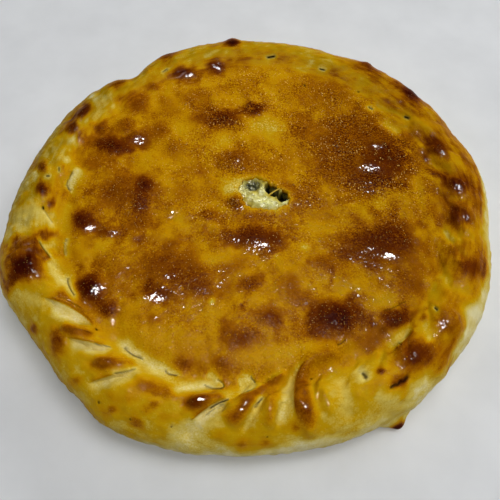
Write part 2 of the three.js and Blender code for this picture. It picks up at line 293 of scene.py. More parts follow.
# A stroke is a ridge or valley along a path: half width in pixels, rise in millimetres, bake level.
Stroke = namedtuple("Stroke", "path half_width rise level")
STROKES = (
    Stroke(((54, 290), (70, 299), (88, 314)), 5, 1.8, 0.64),
    Stroke(((50, 306), (64, 313), (86, 325)), 9, -1.2, 0.06),
    Stroke(((58, 325), (74, 330), (96, 335)), 5.5, 2.0, 0.66),
    Stroke(((66, 343), (88, 346), (114, 349)), 7, -1.2, 0.07),
    Stroke(((112, 336), (124, 347), (140, 358), (162, 370), (180, 378)), 7.5, -0.8, 0.10),
    Stroke(((92, 360), (106, 363), (138, 365)), 5, 2.0, 0.62),
    Stroke(((86, 388), (108, 380), (138, 370)), 8, -1.8, 0.09),
    Stroke(((168, 391), (194, 386), (218, 386)), 6.5, -1.2, 0.10),
    Stroke(((188, 404), (203, 401), (226, 397)), 5.5, 2.2, 0.74),
    Stroke(((182, 446), (190, 432), (206, 415), (228, 400)), 8, -2.4, 0.07),
    Stroke(((172, 456), (184, 440), (198, 424)), 15, -0.8, 0.10),
    Stroke(((236, 384), (246, 382), (256, 377)), 7, -0.4, 0.14),
    Stroke(((206, 372), (213, 377), (220, 384)), 6, -0.3, 0.17),
    Stroke(((226, 426), (240, 411), (251, 397), (268, 384)), 9, 2.8, 0.66),
    Stroke(((242, 436), (251, 418), (259, 404), (264, 391)), 4.5, -2.4, 0.17),
    Stroke(((289, 371), (277, 379), (272, 398), (269, 432)), 6.5, 2.6, 0.52),
    Stroke(((296, 368), (289, 388), (285, 404), (278, 430)), 6, -2.4, 0.09),
    Stroke(
        ((345, 357), (330, 353), (314, 357), (304, 366), (300, 386), (304, 410), (313, 442)),
        8.5, 3.6, 0.56,
    ),
    Stroke(((302, 372), (305, 398), (311, 430)), 7, 0.0, 0.66),
    Stroke(((313, 374), (316, 392), (323, 416)), 4.5, -1.4, 0.32),
    Stroke(((317, 378), (323, 394), (333, 418)), 5, 1.6, 0.36),
    Stroke(((338, 374), (346, 394), (350, 424)), 9, -2.0, 0.18),
    Stroke(((356, 366), (362, 374), (366, 384)), 8, -0.8, 0.16),
    Stroke(((372, 392), (388, 402), (404, 404)), 12, 0.4, 0.16),
    Stroke(((386, 350), (398, 340), (410, 328)), 5, -1.8, 0.24),
    Stroke(((425, 318), (427, 332), (431, 344)), 5, -1.4, 0.22),
    Stroke(((428, 308), (450, 311), (459, 330), (444, 358), (432, 384)), 6, 1.6, 0.58),
    Stroke(((91, 124), (99, 111), (110, 98)), 5, -1.6, 0.24),
    Stroke(((64, 136), (56, 154), (52, 172)), 7, -0.8, 0.25),
    Stroke(((42, 204), (27, 216), (14, 232)), 12, -0.6, 0.15),
    Stroke(((48, 210), (52, 222), (60, 230)), 6, 0.0, 0.22),
    Stroke(((65, 160), (58, 178), (55, 200)), 6, 0.0, 0.48),
    Stroke(((70, 198), (65, 215), (62, 238)), 7, -0.6, 0.31),
    Stroke(((67, 192), (73, 180), (81, 166)), 5, 0.0, 0.10),
    Stroke(((50, 236), (28, 243), (14, 250)), 5, 1.2, 0.66),
    Stroke(((46, 257), (53, 269), (66, 288)), 6, -0.6, 0.14),
    Stroke(((10, 288), (24, 298), (44, 300)), 9, -0.4, 0.19),
    Stroke(((164, 73), (176, 62), (196, 51)), 4, -1.2, 0.33),
    Stroke(((118, 96), (130, 84), (148, 70)), 4, -0.8, 0.30),
    Stroke(((202, 58), (212, 53), (222, 48)), 3, -0.8, 0.20),
    Stroke(((382, 120), (391, 127), (402, 134)), 4.5, -1.4, 0.26),
    Stroke(((372, 106), (390, 110), (406, 117)), 3.5, -1.4, 0.32),
    Stroke(((412, 118), (424, 124), (434, 134)), 5, 0.8, 0.40),
    Stroke(((428, 160), (436, 166), (450, 170)), 4, -1.2, 0.38),
    Stroke(((414, 170), (419, 192), (424, 216)), 5, -1.4, 0.44),
    Stroke(((432, 236), (438, 256), (440, 280)), 5, -1.4, 0.53),
    Stroke(((446, 196), (456, 199), (470, 198)), 3.5, -1.2, 0.45),
    Stroke(((452, 232), (464, 236), (478, 238)), 4, -1.2, 0.42),
    Stroke(((452, 286), (462, 290), (472, 296)), 5, -1.0, 0.38),
)

# A lap is a fold of dough with a sharp edge that lies over the valley to the right of its path.
# Its lip and its valley each have a height in millimetres, a half width in pixels and a bake level.
Lap = namedtuple("Lap", "path lip lip_width drop drop_width lip_level valley_level")
LAPS = (
    Lap(((40, 296), (62, 303), (83, 315), (97, 329)), 1.6, 7, 3.0, 8, 0.56, 0.07),
    Lap(((64, 337), (85, 341), (111, 346.5)), 1.4, 4, 2.6, 6, 0.52, 0.07),
    Lap(((86, 384), (112, 375), (136, 369)), 1.4, 6, 2.2, 6, 0.50, 0.12),
    Lap(((290, 369), (274, 377), (262, 385), (250, 391.6), (238, 395.5)), 1.6, 7, 1.6, 6, 0.62, 0.30),
    Lap(((190, 422), (203, 411), (215, 403), (230, 397)), 1.4, 6, 2.2, 7, 0.58, 0.07),
    Lap(((308, 358), (299, 366), (294, 386), (294, 408), (299, 420)), 0.8, 6, 1.4, 5, 0.62, 0.16),
    Lap(((36, 246), (22, 250), (8, 258)), 1.0, 6, 0.6, 5, 0.66, 0.62),
    Lap(((414, 328), (404, 341), (392, 350)), 1.0, 6, 1.4, 6, 0.64, 0.18),
)

# A slit is a narrow cut with painted shade inside it, with pale dough to one side of its path or on both;
# burnt specks and the charred tear are listed as slits too.
# Its half width and the pale dough's are in pixels and its depth in millimetres.
Slit = namedtuple("Slit", "path half_width depth lens side dark")
SLITS = (
    Slit(((39, 242), (43, 248), (50, 257)), 0.8, 1.6, 4.0, -1, 0.5),
    Slit(((65.5, 240), (63.8, 247), (64.5, 254)), 0.8, 1.6, 5.0, -1, 0.6),
    Slit(((67.5, 279), (68.5, 286), (74, 295)), 0.8, 1.6, 5.0, 0, 0.6),
    Slit(((72, 173), (68, 181), (67, 186), (69, 190)), 0.9, 1.8, 6.0, -1, 0.7),
    Slit(((94, 343.5), (102, 345), (110, 347)), 0.7, 1.2, 3.0, 1, 0.6),
    Slit(((124.5, 348.5), (132.5, 355), (142.5, 359)), 0.8, 1.6, 5.0, -1, 0.6),
    Slit(((115, 373.5), (126, 371.5), (135, 369)), 0.8, 1.6, 4.0, 0, 0.6),
    Slit(((165.6, 371), (168, 374), (176.6, 375.6)), 0.8, 1.6, 5.0, -1, 0.6),
    Slit(((205, 385), (210, 388), (220, 389), (224.4, 387), (223, 383), (218, 380)), 0.8, 1.4, 5.0, -1, 0.6),
    Slit(((251, 378), (256, 383), (254, 389), (246, 392)), 0.8, 1.6, 7.0, 1, 0.6),
    Slit(((228, 399.5), (220, 402.5), (211, 408)), 0.8, 1.8, 3.0, 1, 0.7),
    Slit(((224, 404), (214, 409), (206, 415)), 0.5, 0.8, 0.0, 0, 0.4),
    Slit(((262, 398), (259, 402), (255, 407)), 0.9, 1.6, 3.0, 0, 0.7),
    Slit(((363, 374), (366, 377)), 2.2, 2.4, 5.0, 0, 0.9),
    Slit(
        ((391, 387.5), (394, 385), (398, 385), (400, 381.5), (404, 381.5), (407, 377.5)),
        2.2, 1.6, 0.0, 0, 0.85,
    ),
    Slit(((268, 57.5), (274, 56.5)), 1.5, 2.0, 3.5, 0, 1.0),
    Slit(((320, 69), (324, 70)), 1.0, 1.4, 3.0, 0, 0.9),
    Slit(((369, 107.5), (372, 109)), 1.0, 1.4, 3.0, 0, 0.8),
    Slit(((405, 117), (408, 118)), 1.8, 2.0, 3.5, 0, 1.0),
    Slit(((163, 72), (167, 69)), 0.8, 1.4, 3.0, 0, 0.5),
    Slit(((43, 207), (43.5, 209)), 1.2, 1.4, 0.0, 0, 1.0),
    Slit(((44, 210), (48, 216), (52, 222)), 0.7, 0.8, 4.0, 1, 0.3),
    Slit(((47, 176), (49, 176)), 1.2, 1.4, 3.0, 0, 0.8),
    Slit(((59, 168), (59, 171)), 0.8, 1.2, 3.0, 0, 0.6),
    Slit(((96, 329), (97, 330)), 1.0, 1.2, 0.0, 0, 0.9),
    Slit(((98.5, 402), (99, 403)), 1.2, 1.0, 0.0, 0, 1.0),
    Slit(((130, 419), (130.5, 420)), 1.0, 1.0, 0.0, 0, 1.0),
    Slit(((171, 427), (171.5, 427)), 0.8, 0.8, 0.0, 0, 0.9),
    Slit(((267, 437), (267.5, 437)), 0.8, 0.6, 0.0, 0, 0.8),
    Slit(((311, 379), (312, 379)), 0.9, 0.6, 0.0, 0, 0.9),
    Slit(((435, 308), (437, 310)), 1.4, 1.6, 3.0, 0, 0.9),
    Slit(((399, 343), (401, 344)), 1.0, 1.2, 0.0, 0, 0.9),
    Slit(((338, 345), (342, 343), (345, 340)), 1.0, 0.5, 0.0, 0, 0.6),
    Slit(((384, 311), (394, 308), (404, 302)), 0.6, 0.6, 0.0, 0, 0.5),
    Slit(((304, 85), (305, 86)), 0.9, 0.6, 0.0, 0, 0.8),
    Slit(((358, 92), (359, 92)), 0.9, 0.6, 0.0, 0, 0.8),
)

# Small facets on the blisters and folds that catch the lamp, with how far each is flattened.
FACET_HOLD = 0.75
Facet = namedtuple("Facet", "u v wide tall turn hold", defaults=(0, FACET_HOLD))
FACETS = (
    Facet(138, 140, 14, 8, 33),
    Facet(128, 132, 5, 5),
    Facet(94, 291, 14, 6, -40),
    Facet(172, 214, 5, 8),
    Facet(137, 238, 8, 5),
    Facet(155, 298, 17, 6),
    Facet(391, 257, 16, 5),
    Facet(416, 242, 5, 5),
    Facet(90, 229, 12, 5),
    Facet(116, 233, 9, 5),
    Facet(377, 147, 9, 6),
    Facet(370, 167, 14, 10),
    Facet(264, 243, 7, 3),
    Facet(238, 161, 4, 5),
    Facet(250, 105, 6, 4),
    Facet(190, 76, 7, 5),
    Facet(219, 70, 5, 5),
    Facet(444, 326, 4, 6),
    Facet(415, 359, 4, 3),
    Facet(113, 320, 7, 8),
    Facet(330, 370, 4, 3),
    Facet(336, 373, 4, 3),
    Facet(305, 392, 4, 7, 0, 0.95),
    Facet(307, 406, 5, 6, 0, 0.95),
    Facet(319, 391, 3, 6, -15, 0.95),
    Facet(326, 405, 3, 8, -20, 0.95),
    Facet(249, 400, 4, 4),
    Facet(257, 393, 3, 3),
    Facet(243, 409, 4, 3),
    Facet(272, 405, 3, 4),
    Facet(202, 398, 8, 4),
    Facet(455, 186, 5, 5),
    Facet(463, 218, 5, 6),
    Facet(440, 152, 5, 4),
)
FACET_EDGE = (0.5, 1.5)
FACET_CLIP = 1.6
FACET_GRAIN = 0.6
FACET_SHINE = 1.2
# Places where the skin is dull; the level is the share of its shine that is lost.
DULL_PATCHES = (
    Blotch(262, 338, 92, 44, 0, 0.95, 0),
    Blotch(170, 345, 40, 20, 10, 0.9, 0),
    Blotch(325, 266, 24, 14, 0, 0.8, 0),
    Blotch(335, 316, 26, 16, 0, 0.8, 0),
    Blotch(292, 295, 26, 14, 0, 0.8, 0),
    Blotch(194, 288, 20, 14, 0, 0.9, 0),
    Blotch(150, 392, 34, 14, 5, 0.9, 0),
    Blotch(88, 333, 26, 8, 10, 0.8, 0),
    Blotch(372, 388, 40, 16, 0, 0.9, 0),
    Blotch(258, 216, 30, 9, 0, 0.9, 0),
)
DULL_EDGE = (0.7, 1.1)

# How sharply marks end: along a path as a share of its length, across it in pixels.
STROKE_RISE_FADE = 0.15
STROKE_BAKE_FADE = 0.2
LAP_FADE = 0.25
LAP_EDGE = 0.9
SLIT_SIDE = (-1.5, 0.5)
SLIT_PALENESS = 0.85
SLIT_DARK_EDGE = (0.2, 0.4)
BLISTER_REACH = 1.4
BLOTCH_FALL = 0.75
BLOTCH_POWER = 2.6
# How far beside slits and laps, in pixels, and on which faces the mesh is divided once more.
REFINE_BESIDE_SLIT = 2
REFINE_BESIDE_LAP = 2.4
REFINE_FACING = 0.1
REFINE_CUTS = 2

# Uneven fields over the dough: how strong each is at least and at most, its wavelength and its seed.
Ripple = namedtuple("Ripple", "least most wavelength seed")
RIPPLE_WAVES = 20
RELIEF_RIPPLES = (
    Ripple(0.30, 0.30, 26, 11),
    Ripple(0.10, 0.10, 9, 12),
    Ripple(0.06, 0.12, 5.5, 13),
    Ripple(0.03, 0.05, 3.2, 14),
)
BAKE_RIPPLES = (
    Ripple(0.036, 0.036, 34, 21),
    Ripple(0.03, 0.05, 11, 22),
    Ripple(0.012, 0.05, 5, 23),
)
EDGE_RIPPLES = (Ripple(0.13, 0.13, 13, 24), Ripple(0.08, 0.08, 5, 25))
UNDERSIDE_RIPPLES = (Ripple(0.10, 0.10, 22, 26),)
PAINTED_SHADE_RIPPLES = (Ripple(0.2, 0.2, 9, 27), Ripple(0.15, 0.15, 4.5, 28))
PALE_RIPPLES = (Ripple(1.2, 1.2, 24, 31),)
MOUND_RIPPLES = (Ripple(0.28, 0.28, 7, 41), Ripple(0.16, 0.16, 3.2, 42))

# Where the crust changes from lid to rim, in millimetres outside the seam.
RELIEF_SEAM = (-4, 4)
BAKE_SEAM = (-2, 4)
GRAIN_SEAM = (-8, 4)
GLOSS_SEAM = (-6, 0)
PAINTED_SHADE_SEAM = (2, 15)
STREAK_SEAM = (-6, 4)

# In the finishes below, a pair is where a change starts and ends, in millimetres, bake level or tilt.
# How brown the wall's pale band and the underside are.
WALL_TOP = (18, 32)
PALE_BLEND = 3.5
UNDERSIDE_BAKE = 0.52
UNDERSIDE_TILT = (0.6, 0.95)
UNDERSIDE_TOP = 3
# How grainy the skin is on the rim, and on the lid from left to right.
RIM_GRAIN = 0.85
LID_GRAIN = (0.8, 1.1)
GRAIN_FROM_LEFT = (-60, 10)
# How wet the skin shines, and where it is dull: on the lid's shoulder, at the back and below the top.
LID_GLOSS = 0.36
RIM_GLOSS = 0.22
GLOSS_BAKE = (0.2, 0.6)
SHOULDER_INSIDE = 5
SHOULDER_WIDTH = 7
SHOULDER_TO_FRONT = (-40, 20)
SHOULDER_DULLNESS = 0.85
DULL_BACK = (60, 90)
BRUSHED_HEIGHT = (18, 29)
BRUSHED_RADIUS = (126, 134)
BRUSHED_TILT = (0.5, 0.8)
# How much painted shade darkens the lid from left to right, and where the rim's wall begins.
LID_PAINTED_SHADE = 0.30
LID_PAINTED_SHADE_FROM_LEFT = (20, 70)
PAINTED_SHADE_WALL = (12, 26)
MOST_PAINTED_SHADE = 1.3
# How strong the brush streaks are on the wall, among the front folds and on pale dough.
STREAK_WALL = 0.35
STREAK_HEIGHTS = (15, 25)
STREAK_FRONT = 0.45
STREAK_TO_FRONT = (20, 60)
STREAK_PALE = 0.4
STREAK_PALE_BAKE = (0.1, 0.35)
# How many flecks and painted glints there are, how many bubbles, and where bubbles can stand.
RIM_FLECKS_AND_GLINTS = 0.12
FRONT_FLECKS_AND_GLINTS = 0.25
LID_FLECKS_AND_GLINTS = (0.3, 0.68)
FLECKS_AND_GLINTS_FROM_LEFT = (-60, -10)
FLECKS_AND_GLINTS_FROM_FRONT = (-45, 10)
RIM_BUBBLES = 0.1
BUBBLES_PAST_VENT = (1.5, 4)
BUBBLES_TILT = 0.7
BUBBLES_HEIGHT = 28
BUBBLES_CHAR_AND_PAINTED_SHADE = 0.02
# Which faces take the picture's marks, and which parts of the crust have relief.
SHOWN_FACING = (-0.4, 0.0)
RELIEF_HEIGHTS = (0.5, 4)
FACET_TILT = 0.3
VENT_MARGIN = 0.3
CAVITY_MARGIN = 1
SKIN_DEPTH = 1.2

# The vent's torn edge in the picture, its small waves, and how its lip rises, thins and browns.
VENT_EDGE = (
    (290, 198.5), (286, 192), (278, 188.5), (270, 184.5), (262, 180), (253, 178), (244, 181),
    (238, 188), (240.5, 195), (242, 202), (247, 207), (254, 208.5), (262, 208.5), (270, 210.5),
    (280, 208), (287, 204),
)
Wave = namedtuple("Wave", "size count turn")
VENT_WAVES = (Wave(0.03, 11, 0), Wave(0.025, 23, 40))
VENT_REACH = 12
VENT_LIP = 1.0
VENT_LIP_WIDTH = 6
LIP_THICKNESS = 2.4
LIP_REACH = 14
LIP_BAKE = 0.2
LIP_BAKE_SHARE = 0.5
LIP_BAKE_WIDTH = 2.2
LIP_FROM_MIDDLE = 40

# Places in the vent: hollows with herbs, deep gaps that take painted shade, and pale lumps of curd.
HERB_HOLLOWS = (
    Blotch(252, 185, 10, 6, -8, 1.0, -1.8),
    Blotch(247, 206, 5, 3, 10, 0.6, -0.8),
)
DARK_GAPS = (
    Blotch(272, 189.5, 8, 5.5, 38, 1.0, -12),
    Blotch(283, 196, 6, 5.5, 55, 1.0, -12),
    Blotch(284, 207, 3, 2, 0, 0.8, -2),
)
CURD_LUMPS = (
    Blotch(266, 203, 15, 6, 8, 1.0, 1.0),
    Blotch(262, 191, 4, 6, 0, 0.9, 0.4),
    Blotch(244, 190, 8, 7, 0, 0.6, 0.3),
    Blotch(254, 198, 8, 5, 0, 0.7, 0.5),
    Blotch(285, 202.5, 3.5, 5, 35, 0.9, 0.9),
)
PATCH_EDGE = (0.45, 1.2)
GAP_EDGE = (0.7, 1.1)
# A strand of dough across the dark gap in the picture, and its finish.
STRAND = ((267, 197), (273, 192), (280, 188.5))
STRAND_RADIUS = 0.45
STRAND_DROP = 0.6
STRAND_FINISH = {"bake": 0.2, "char": 0.0, "gloss": 0.7, "grain": 0.2, "flecks": 0.0}
# The mound of filling: how far it lies under the vent's lip, how fine its mesh is and what room it leaves.
MOUND_EDGE_FALL = 0.9
MOUND_FALL = 0.5
MOUND_COLUMNS = 200
MOUND_SHARES = np.linspace(0.965, 0.04, 30)
MOUND_HEIGHT = 25
MOUND_INSIDE = (-0.5, 0.4)
BITS_INSIDE = (0.5, 1.2)
FILLING_SHRINK = 0.4

# Scattered things: how many to the square metre at most, and their sizes in millimetres.
BUBBLES = {"Density": 100000.0, "Smallest": 0.25, "Largest": 0.65, "Seed": 3}
CURDS = {"Density": 320000.0, "Smallest": 0.35, "Largest": 0.9, "Seed": 5}
SHREDS = {"Density": 420000.0, "Smallest": 0.5, "Largest": 1.1, "Seed": 8}
# Their shapes, at a millimetre in radius or half length, how far they tilt, and how brown they may be
# against the surface under them: mostly paler, which paints highlights on the bubbles.
DOME_SIDES = 8
DOME_RISE = 0.26
LUMP_SEEDS = {"lump_a": 51, "lump_b": 52, "lump_c": 53}
LUMP_RIPPLES = 0.16
LUMP_WAVELENGTH = 1.6
LUMP_FORM = (1.15, 0.9, 0.65)
SHRED_BENDS = {"shred_a": 0.4, "shred_b": -0.2}
SHRED_ARCH = 0.25
SHRED_RADIUS = 0.2
CURD_TILT = 0.5
SHRED_TILT = 0.6
PAINTED_HIGHLIGHT_BAKE_SHARE = (0.8, 1.05)

# How finely the crust is divided; its columns stand closer together at the front.
COLUMNS = 640
FRONT_DEG = 258
FRONT_SPREAD = 75
FRONT_CROWDING = 1.3
FOOT_STEPS = 15
SIDE_STEPS = 32
INNER_STEPS = 18
LID_STEP = 1.3
LID_START = 0.1
LID_COARSE_FROM = 0.34
BASE_RINGS = ((8, 0.3), (4, 0.6), (2, 0.88))
CAVITY_COLUMN_STEP = 4
CAVITY_TOP_SHARES = (0.0, 0.08, 0.2, 0.5, 1.0)

# Brush streaks: as wide as 1 over the scale, and drawn out round the pie as if on a circle this small.
STREAK_SCALE = 420
STREAK_CIRCLE = 0.018
STREAK_BAKE = 0.45
STREAK_HEIGHT = 1.6
# Fine colour of the crust: how far mottling, speckle and dark flecks change its bake, and how common flecks
# and painted glints are.
MOTTLE_BAKE = 0.16
SPECKLE_MIDDLE = 0.49
SPECKLE_LEAST = 0.10
SPECKLE_BY_FLECKS_AND_GLINTS = 0.95
FLECK_AND_GLINT_SCALE = 1000
FLECK_AND_GLINT_EDGE = (0.22, 0.42)
DARK_FLECK_BAKE = 0.2
DARK_FLECK_CHANCE = (0.72, 0.76)
PAINTED_GLINT_CHANCE = (0.76, 0.80)
# Fine skin: how small its wrinkles are, as a noise scale, and how deep in metres.
CRUST_SKIN = (560.0, 0.00028)
FILLING_SKIN = (500.0, 0.0004)
CURD_SKIN = (900.0, 0.0002)
HERB_SKIN = (1200.0, 0.0001)

# The lamp, in millimetres, only shows as glints. Soft lights, in metres, brighten and show no reflection.
LAMP = (60, 0, 1500)
LAMP_AIM = (0, 0, 0.03)
LAMP_POWER = 90
LAMP_RADIUS = 0.2
LAMP_CONE = 16
LAMP_BLEND = 0.6
SOFT_LIGHT_SIZE = 1.2
SOFT_LIGHTS = {
    "front_soft": ((0.1, -1.2, 2.3), 20),
    "right_soft": ((1.22, 0, 2.3), 18.5),
    "back_right_soft": ((1.73, 1.73, 0.95), 20),
    "back_soft": ((0, 2.44, 0.92), 18),
    "top_soft": ((0.3, 0.4, 2.55), 12),
    "left_soft": ((-2.4, 0.1, 0.9), 3),
}
SKY_COLOUR = (0.93, 0.96, 1.0, 1.0)
SKY_STRENGTH = 0.02
# The floor and the pale wall round it, in metres.
FLOOR_REACH = 4.0
FLOOR_HEIGHT = -0.0003
BACKDROP_RADIUS = 1.3
BACKDROP_HEIGHT = 2.0
BACKDROP_SIDES = 64


def smooth(x, low, high):
    share = np.clip((x - low) / (high - low), 0, 1)
    return share * share * (3 - 2 * share)


def bell(distance, spread):
    return np.exp(-((distance / spread) ** 2))


def mix(a, b, share):
    return a + (b - a) * share


def degrees_apart(a, b):
    return (a - b + 180) % 360 - 180


def column_seats():
    """The directions of the crust's columns, closer together at the front."""
    fine = np.arange(3601) / 10
    crowd = 1 + FRONT_CROWDING * bell(degrees_apart(fine, FRONT_DEG), FRONT_SPREAD)
    passed = np.concatenate([[0], np.cumsum((crowd[1:] + crowd[:-1]) / 2)])
    return np.interp(np.arange(COLUMNS) * passed[-1] / COLUMNS, passed, fine)


def ripple(points, wavelength, seed):
    """An uneven field over space, about -2 to 2, that changes over about one wavelength."""
    rng = np.random.default_rng(seed)
    ways = rng.normal(size=(RIPPLE_WAVES, 3))
    ways /= np.linalg.norm(ways, axis=1)[:, None]
    rate = 2 * math.pi / wavelength * rng.uniform(0.6, 1.5, RIPPLE_WAVES)
    phase = rng.uniform(0, 2 * math.pi, RIPPLE_WAVES)
    return np.cos(points @ (ways * rate[:, None]).T + phase).sum(1) * math.sqrt(2 / RIPPLE_WAVES)


def ripples(points, fields, share=0.0):
    """Uneven fields added up, each at the given share of the way from its least to its most."""
    return sum(mix(f.least, f.most, share) * ripple(points, f.wavelength, f.seed) for f in fields)


def directions(deg):
    """Unit steps in directions given in degrees."""
    turn = np.radians(deg)
    return np.stack([np.cos(turn), np.sin(turn)], 1)


def around(sides):
    """Unit steps in directions evenly spaced round a circle."""
    return directions(np.arange(sides) * 360 / sides)


def past_seam(points, change):
    """0 on the lid and 1 on the rim, with the change between those distances outside the seam."""
    return smooth(np.hypot(*points[:, :2].T) - SEAM_RADIUS, *change)


def camera_frame():
    """The camera's place and its forward and up directions."""
    e = math.radians(CAMERA_ELEVATION)
    forward = np.array([0, math.cos(e), -math.sin(e)])
    up = np.array([0, math.sin(e), math.cos(e)])
    return np.array(CAMERA_AIM) - CAMERA_DISTANCE * forward, forward, up


def focal_pixels():
    return PHOTO_SIZE / 2 / math.tan(math.radians(CAMERA_FIELD / 2))


def picture_pixels(points):
    """Where points in millimetres show in the picture."""
    place, forward, up = camera_frame()
    out = points - place
    scale = focal_pixels() / (out @ forward)
    return np.stack([PHOTO_SIZE / 2 + out[:, 0] * scale, PHOTO_SIZE / 2 - (out @ up) * scale], 1)


def on_level(pixels, height):
    """The points at that height that show at those pixels."""
    place, forward, up = camera_frame()
    shift = (np.asarray(pixels, float) - PHOTO_SIZE / 2) / focal_pixels()
    rays = forward + shift[:, :1] * np.array([1.0, 0, 0]) - shift[:, 1:] * up
    return place + rays * ((height - place[2]) / rays[:, 2])[:, None]


def towards(deg, side):
    """1 in the direction of that side and 0 opposite it."""
    return 0.5 + 0.5 * np.cos(np.radians(deg - side))


def pleat_strength(deg):
    return mix(SHALLOWEST_PLEATS, 1, towards(deg, DEEPEST_PLEATS))


def pleat_relief(seats, deg, outward):
    """The rule-made part of the pleats: a gentle rise, a steep fall and a crease."""
    starts = np.array(CREASE_SEATS + (CREASE_SEATS[0] + 360,), float)
    turned = (seats - starts[0]) % 360 + starts[0]
    i = np.clip(np.searchsorted(starts, turned, side="right") - 1, 0, len(CREASE_SEATS) - 1)
    across = (turned - starts[i]) / (starts[i + 1] - starts[i])
    rise = np.where(
        across < PLEAT_PEAK,
        1 - (1 - across / PLEAT_PEAK) ** 2,
        1 - np.clip((across - PLEAT_PEAK) / (1 - PLEAT_PEAK), 0, 1) ** PLEAT_FALL_POWER,
    )
    lift = mix(PLEAT_SEAM_LIFT, 1, smooth(outward, 0, PLEAT_SEAM_REACH))
    crease = CREASE_DEPTH * bell(np.minimum(across, 1 - across), CREASE_WIDTH)
    share = mix(*RULED_PLEATS, smooth(towards(deg, RULED_SIDE), *RULED_TURN))
    fade = 1 - smooth(outward, *PLEAT_FADE)
    return share * pleat_strength(deg) * fade * (PLEAT_SWELL * lift * rise - crease)


def rim_ring(seats, radius, height, outward):
    """One ring of the rim. outward is 0 at the seam and 1 at the widest level and below it."""
    deg = seats - PLEAT_SLANT * (1 - (1 - outward) ** 2)
    relief = pleat_relief(seats, deg, outward)
    swell = sum(s.size * bell(degrees_apart(deg, s.deg), s.spread) for s in OUTLINE_SWELLS)
    tag = FOOT_TAG.size * bell(degrees_apart(deg, FOOT_TAG.deg), FOOT_TAG.spread)
    tag = tag * (1 - smooth(height, 0, FOOT_TAG_HEIGHT))
    sealed = SEAM_SEALED_RISE * (1 - pleat_strength(deg)) * (1 - smooth(outward, 0, SEALED_REACH))
    away = np.array([radius - RIM_CORE[0], height - RIM_CORE[1]])
    away = away / np.linalg.norm(away)
    r = radius + swell * smooth(outward, 0, SWELL_REACH) + tag + relief * away[0]
    turn = np.radians(deg)
    return np.stack([r * np.cos(turn), r * np.sin(turn), height + sealed + relief * away[1]], 1)


def rim_rings(seats):
    """Rings of the rim from its foot to the seam."""
    rings = []
    for i in range(FOOT_STEPS + 1):
        turn = math.pi / 2 * (i / FOOT_STEPS - 1)
        radius = mix(FOOT_RADIUS, WIDEST_RADIUS, math.cos(turn))
        rings.append(rim_ring(seats, radius, WIDEST_HEIGHT * (1 + math.sin(turn)), 1))
    crest_outward = (CREST_RADIUS - SEAM_RADIUS) / (WIDEST_RADIUS - SEAM_RADIUS)
    for i in range(1, SIDE_STEPS + 1):
        share = i / SIDE_STEPS
        turn = math.pi / 2 * share
        radius = mix(CREST_RADIUS, WIDEST_RADIUS, math.cos(turn))
        height = mix(WIDEST_HEIGHT, CREST_HEIGHT, math.sin(turn))
        rings.append(rim_ring(seats, radius, height, mix(1, crest_outward, share)))
    for i in range(1, INNER_STEPS + 1):
        share = i / INNER_STEPS
        radius = mix(CREST_RADIUS, SEAM_RADIUS, share)
        height = mix(CREST_HEIGHT, SEAM_HEIGHT, smooth(share, 0, 1))
        rings.append(rim_ring(seats, radius, height, mix(crest_outward, 0, share)))
    return rings


def lid_form(x, y):
    """The lid's plain height: a shoulder that rises from the seam, and a low dome."""
    radius = np.hypot(x, y)
    inside = np.maximum(0, SEAM_RADIUS - radius)
    shoulder = LID_SHOULDER_RISE * (1 - np.exp(-inside / LID_SHOULDER_REACH))
    return SEAM_HEIGHT + shoulder + LID_DOME_RISE * (1 - (radius / SEAM_RADIUS) ** 2)


VENT_OUTLINE = on_level(VENT_EDGE, lid_form(0, 0))[:, :2]
VENT_MIDDLE = (VENT_OUTLINE.max(0) + VENT_OUTLINE.min(0)) / 2


def vent_edge(seats, share=1.0):
    """Points of the vent's torn edge in the directions given, or inside it for a share below 1."""
    from_middle = VENT_OUTLINE - VENT_MIDDLE
    turn = np.degrees(np.arctan2(from_middle[:, 1], from_middle[:, 0]))
    order = np.argsort(turn)
    reach = np.hypot(*from_middle[order].T)
    edge = np.interp(seats, turn[order], reach, period=360)
    torn = sum(w.size * np.sin(np.radians(seats * w.count + w.turn)) for w in VENT_WAVES)
    return VENT_MIDDLE + directions(seats) * (edge * (1 + torn) * share)[:, None]


def beyond_vent(points):
    """How far points lie outside the vent's edge, in millimetres; negative inside it."""
    from_middle = points[:, :2] - VENT_MIDDLE
    seats = np.degrees(np.arctan2(from_middle[:, 1], from_middle[:, 0])) % 360
    return np.hypot(*from_middle.T) - np.hypot(*(vent_edge(seats) - VENT_MIDDLE).T)


def lid_rings(seats, seam):
    """Rings of the lid from beside the seam to the vent's edge, with fewer columns further in."""
    count = int((SEAM_RADIUS - VENT_REACH) / LID_STEP)
    rings = []
    for i in range(1, count + 1):
        share = i / count
        step = 1 if share < LID_COARSE_FROM else 2
        start = seam[::step]
        end = vent_edge(seats[::step])
        xy = mix(start[:, :2], end, share)
        top = lid_form(*xy.T) + VENT_LIP * bell(beyond_vent(xy), VENT_LIP_WIDTH)
        height = mix(start[:, 2], top, smooth(share, 0, LID_START))
        rings.append(np.column_stack([xy, height]))
    return rings


def under_lid(xy, clearance):
    """The height of the lid's inner face, thin at the vent's edge."""
    thick = mix(LIP_THICKNESS, LID_THICKNESS, smooth(beyond_vent(xy), 0, LIP_REACH))
    return lid_form(*xy.T) - thick - clearance


def cavity_rings(clearance, seats):
    """Rings of the space in the crust, from under the vent's edge round to its floor."""
    way = directions(seats)
    reach = CAVITY_RADIUS - clearance
    floor = BASE_THICKNESS + clearance
    rings = []
    for share in CAVITY_TOP_SHARES:
        xy = mix(vent_edge(seats), way * (reach - CAVITY_CORNER), share)
        rings.append(np.column_stack([xy, under_lid(xy, clearance)]))
    side_top = SEAM_HEIGHT - LID_THICKNESS - CAVITY_CORNER
    corner = ((reach, side_top), (reach, floor + CAVITY_CORNER), (reach - CAVITY_CORNER, floor))
    for radius, height in corner:
        rings.append(np.column_stack([way * radius, np.full(len(seats), height)]))
    return rings


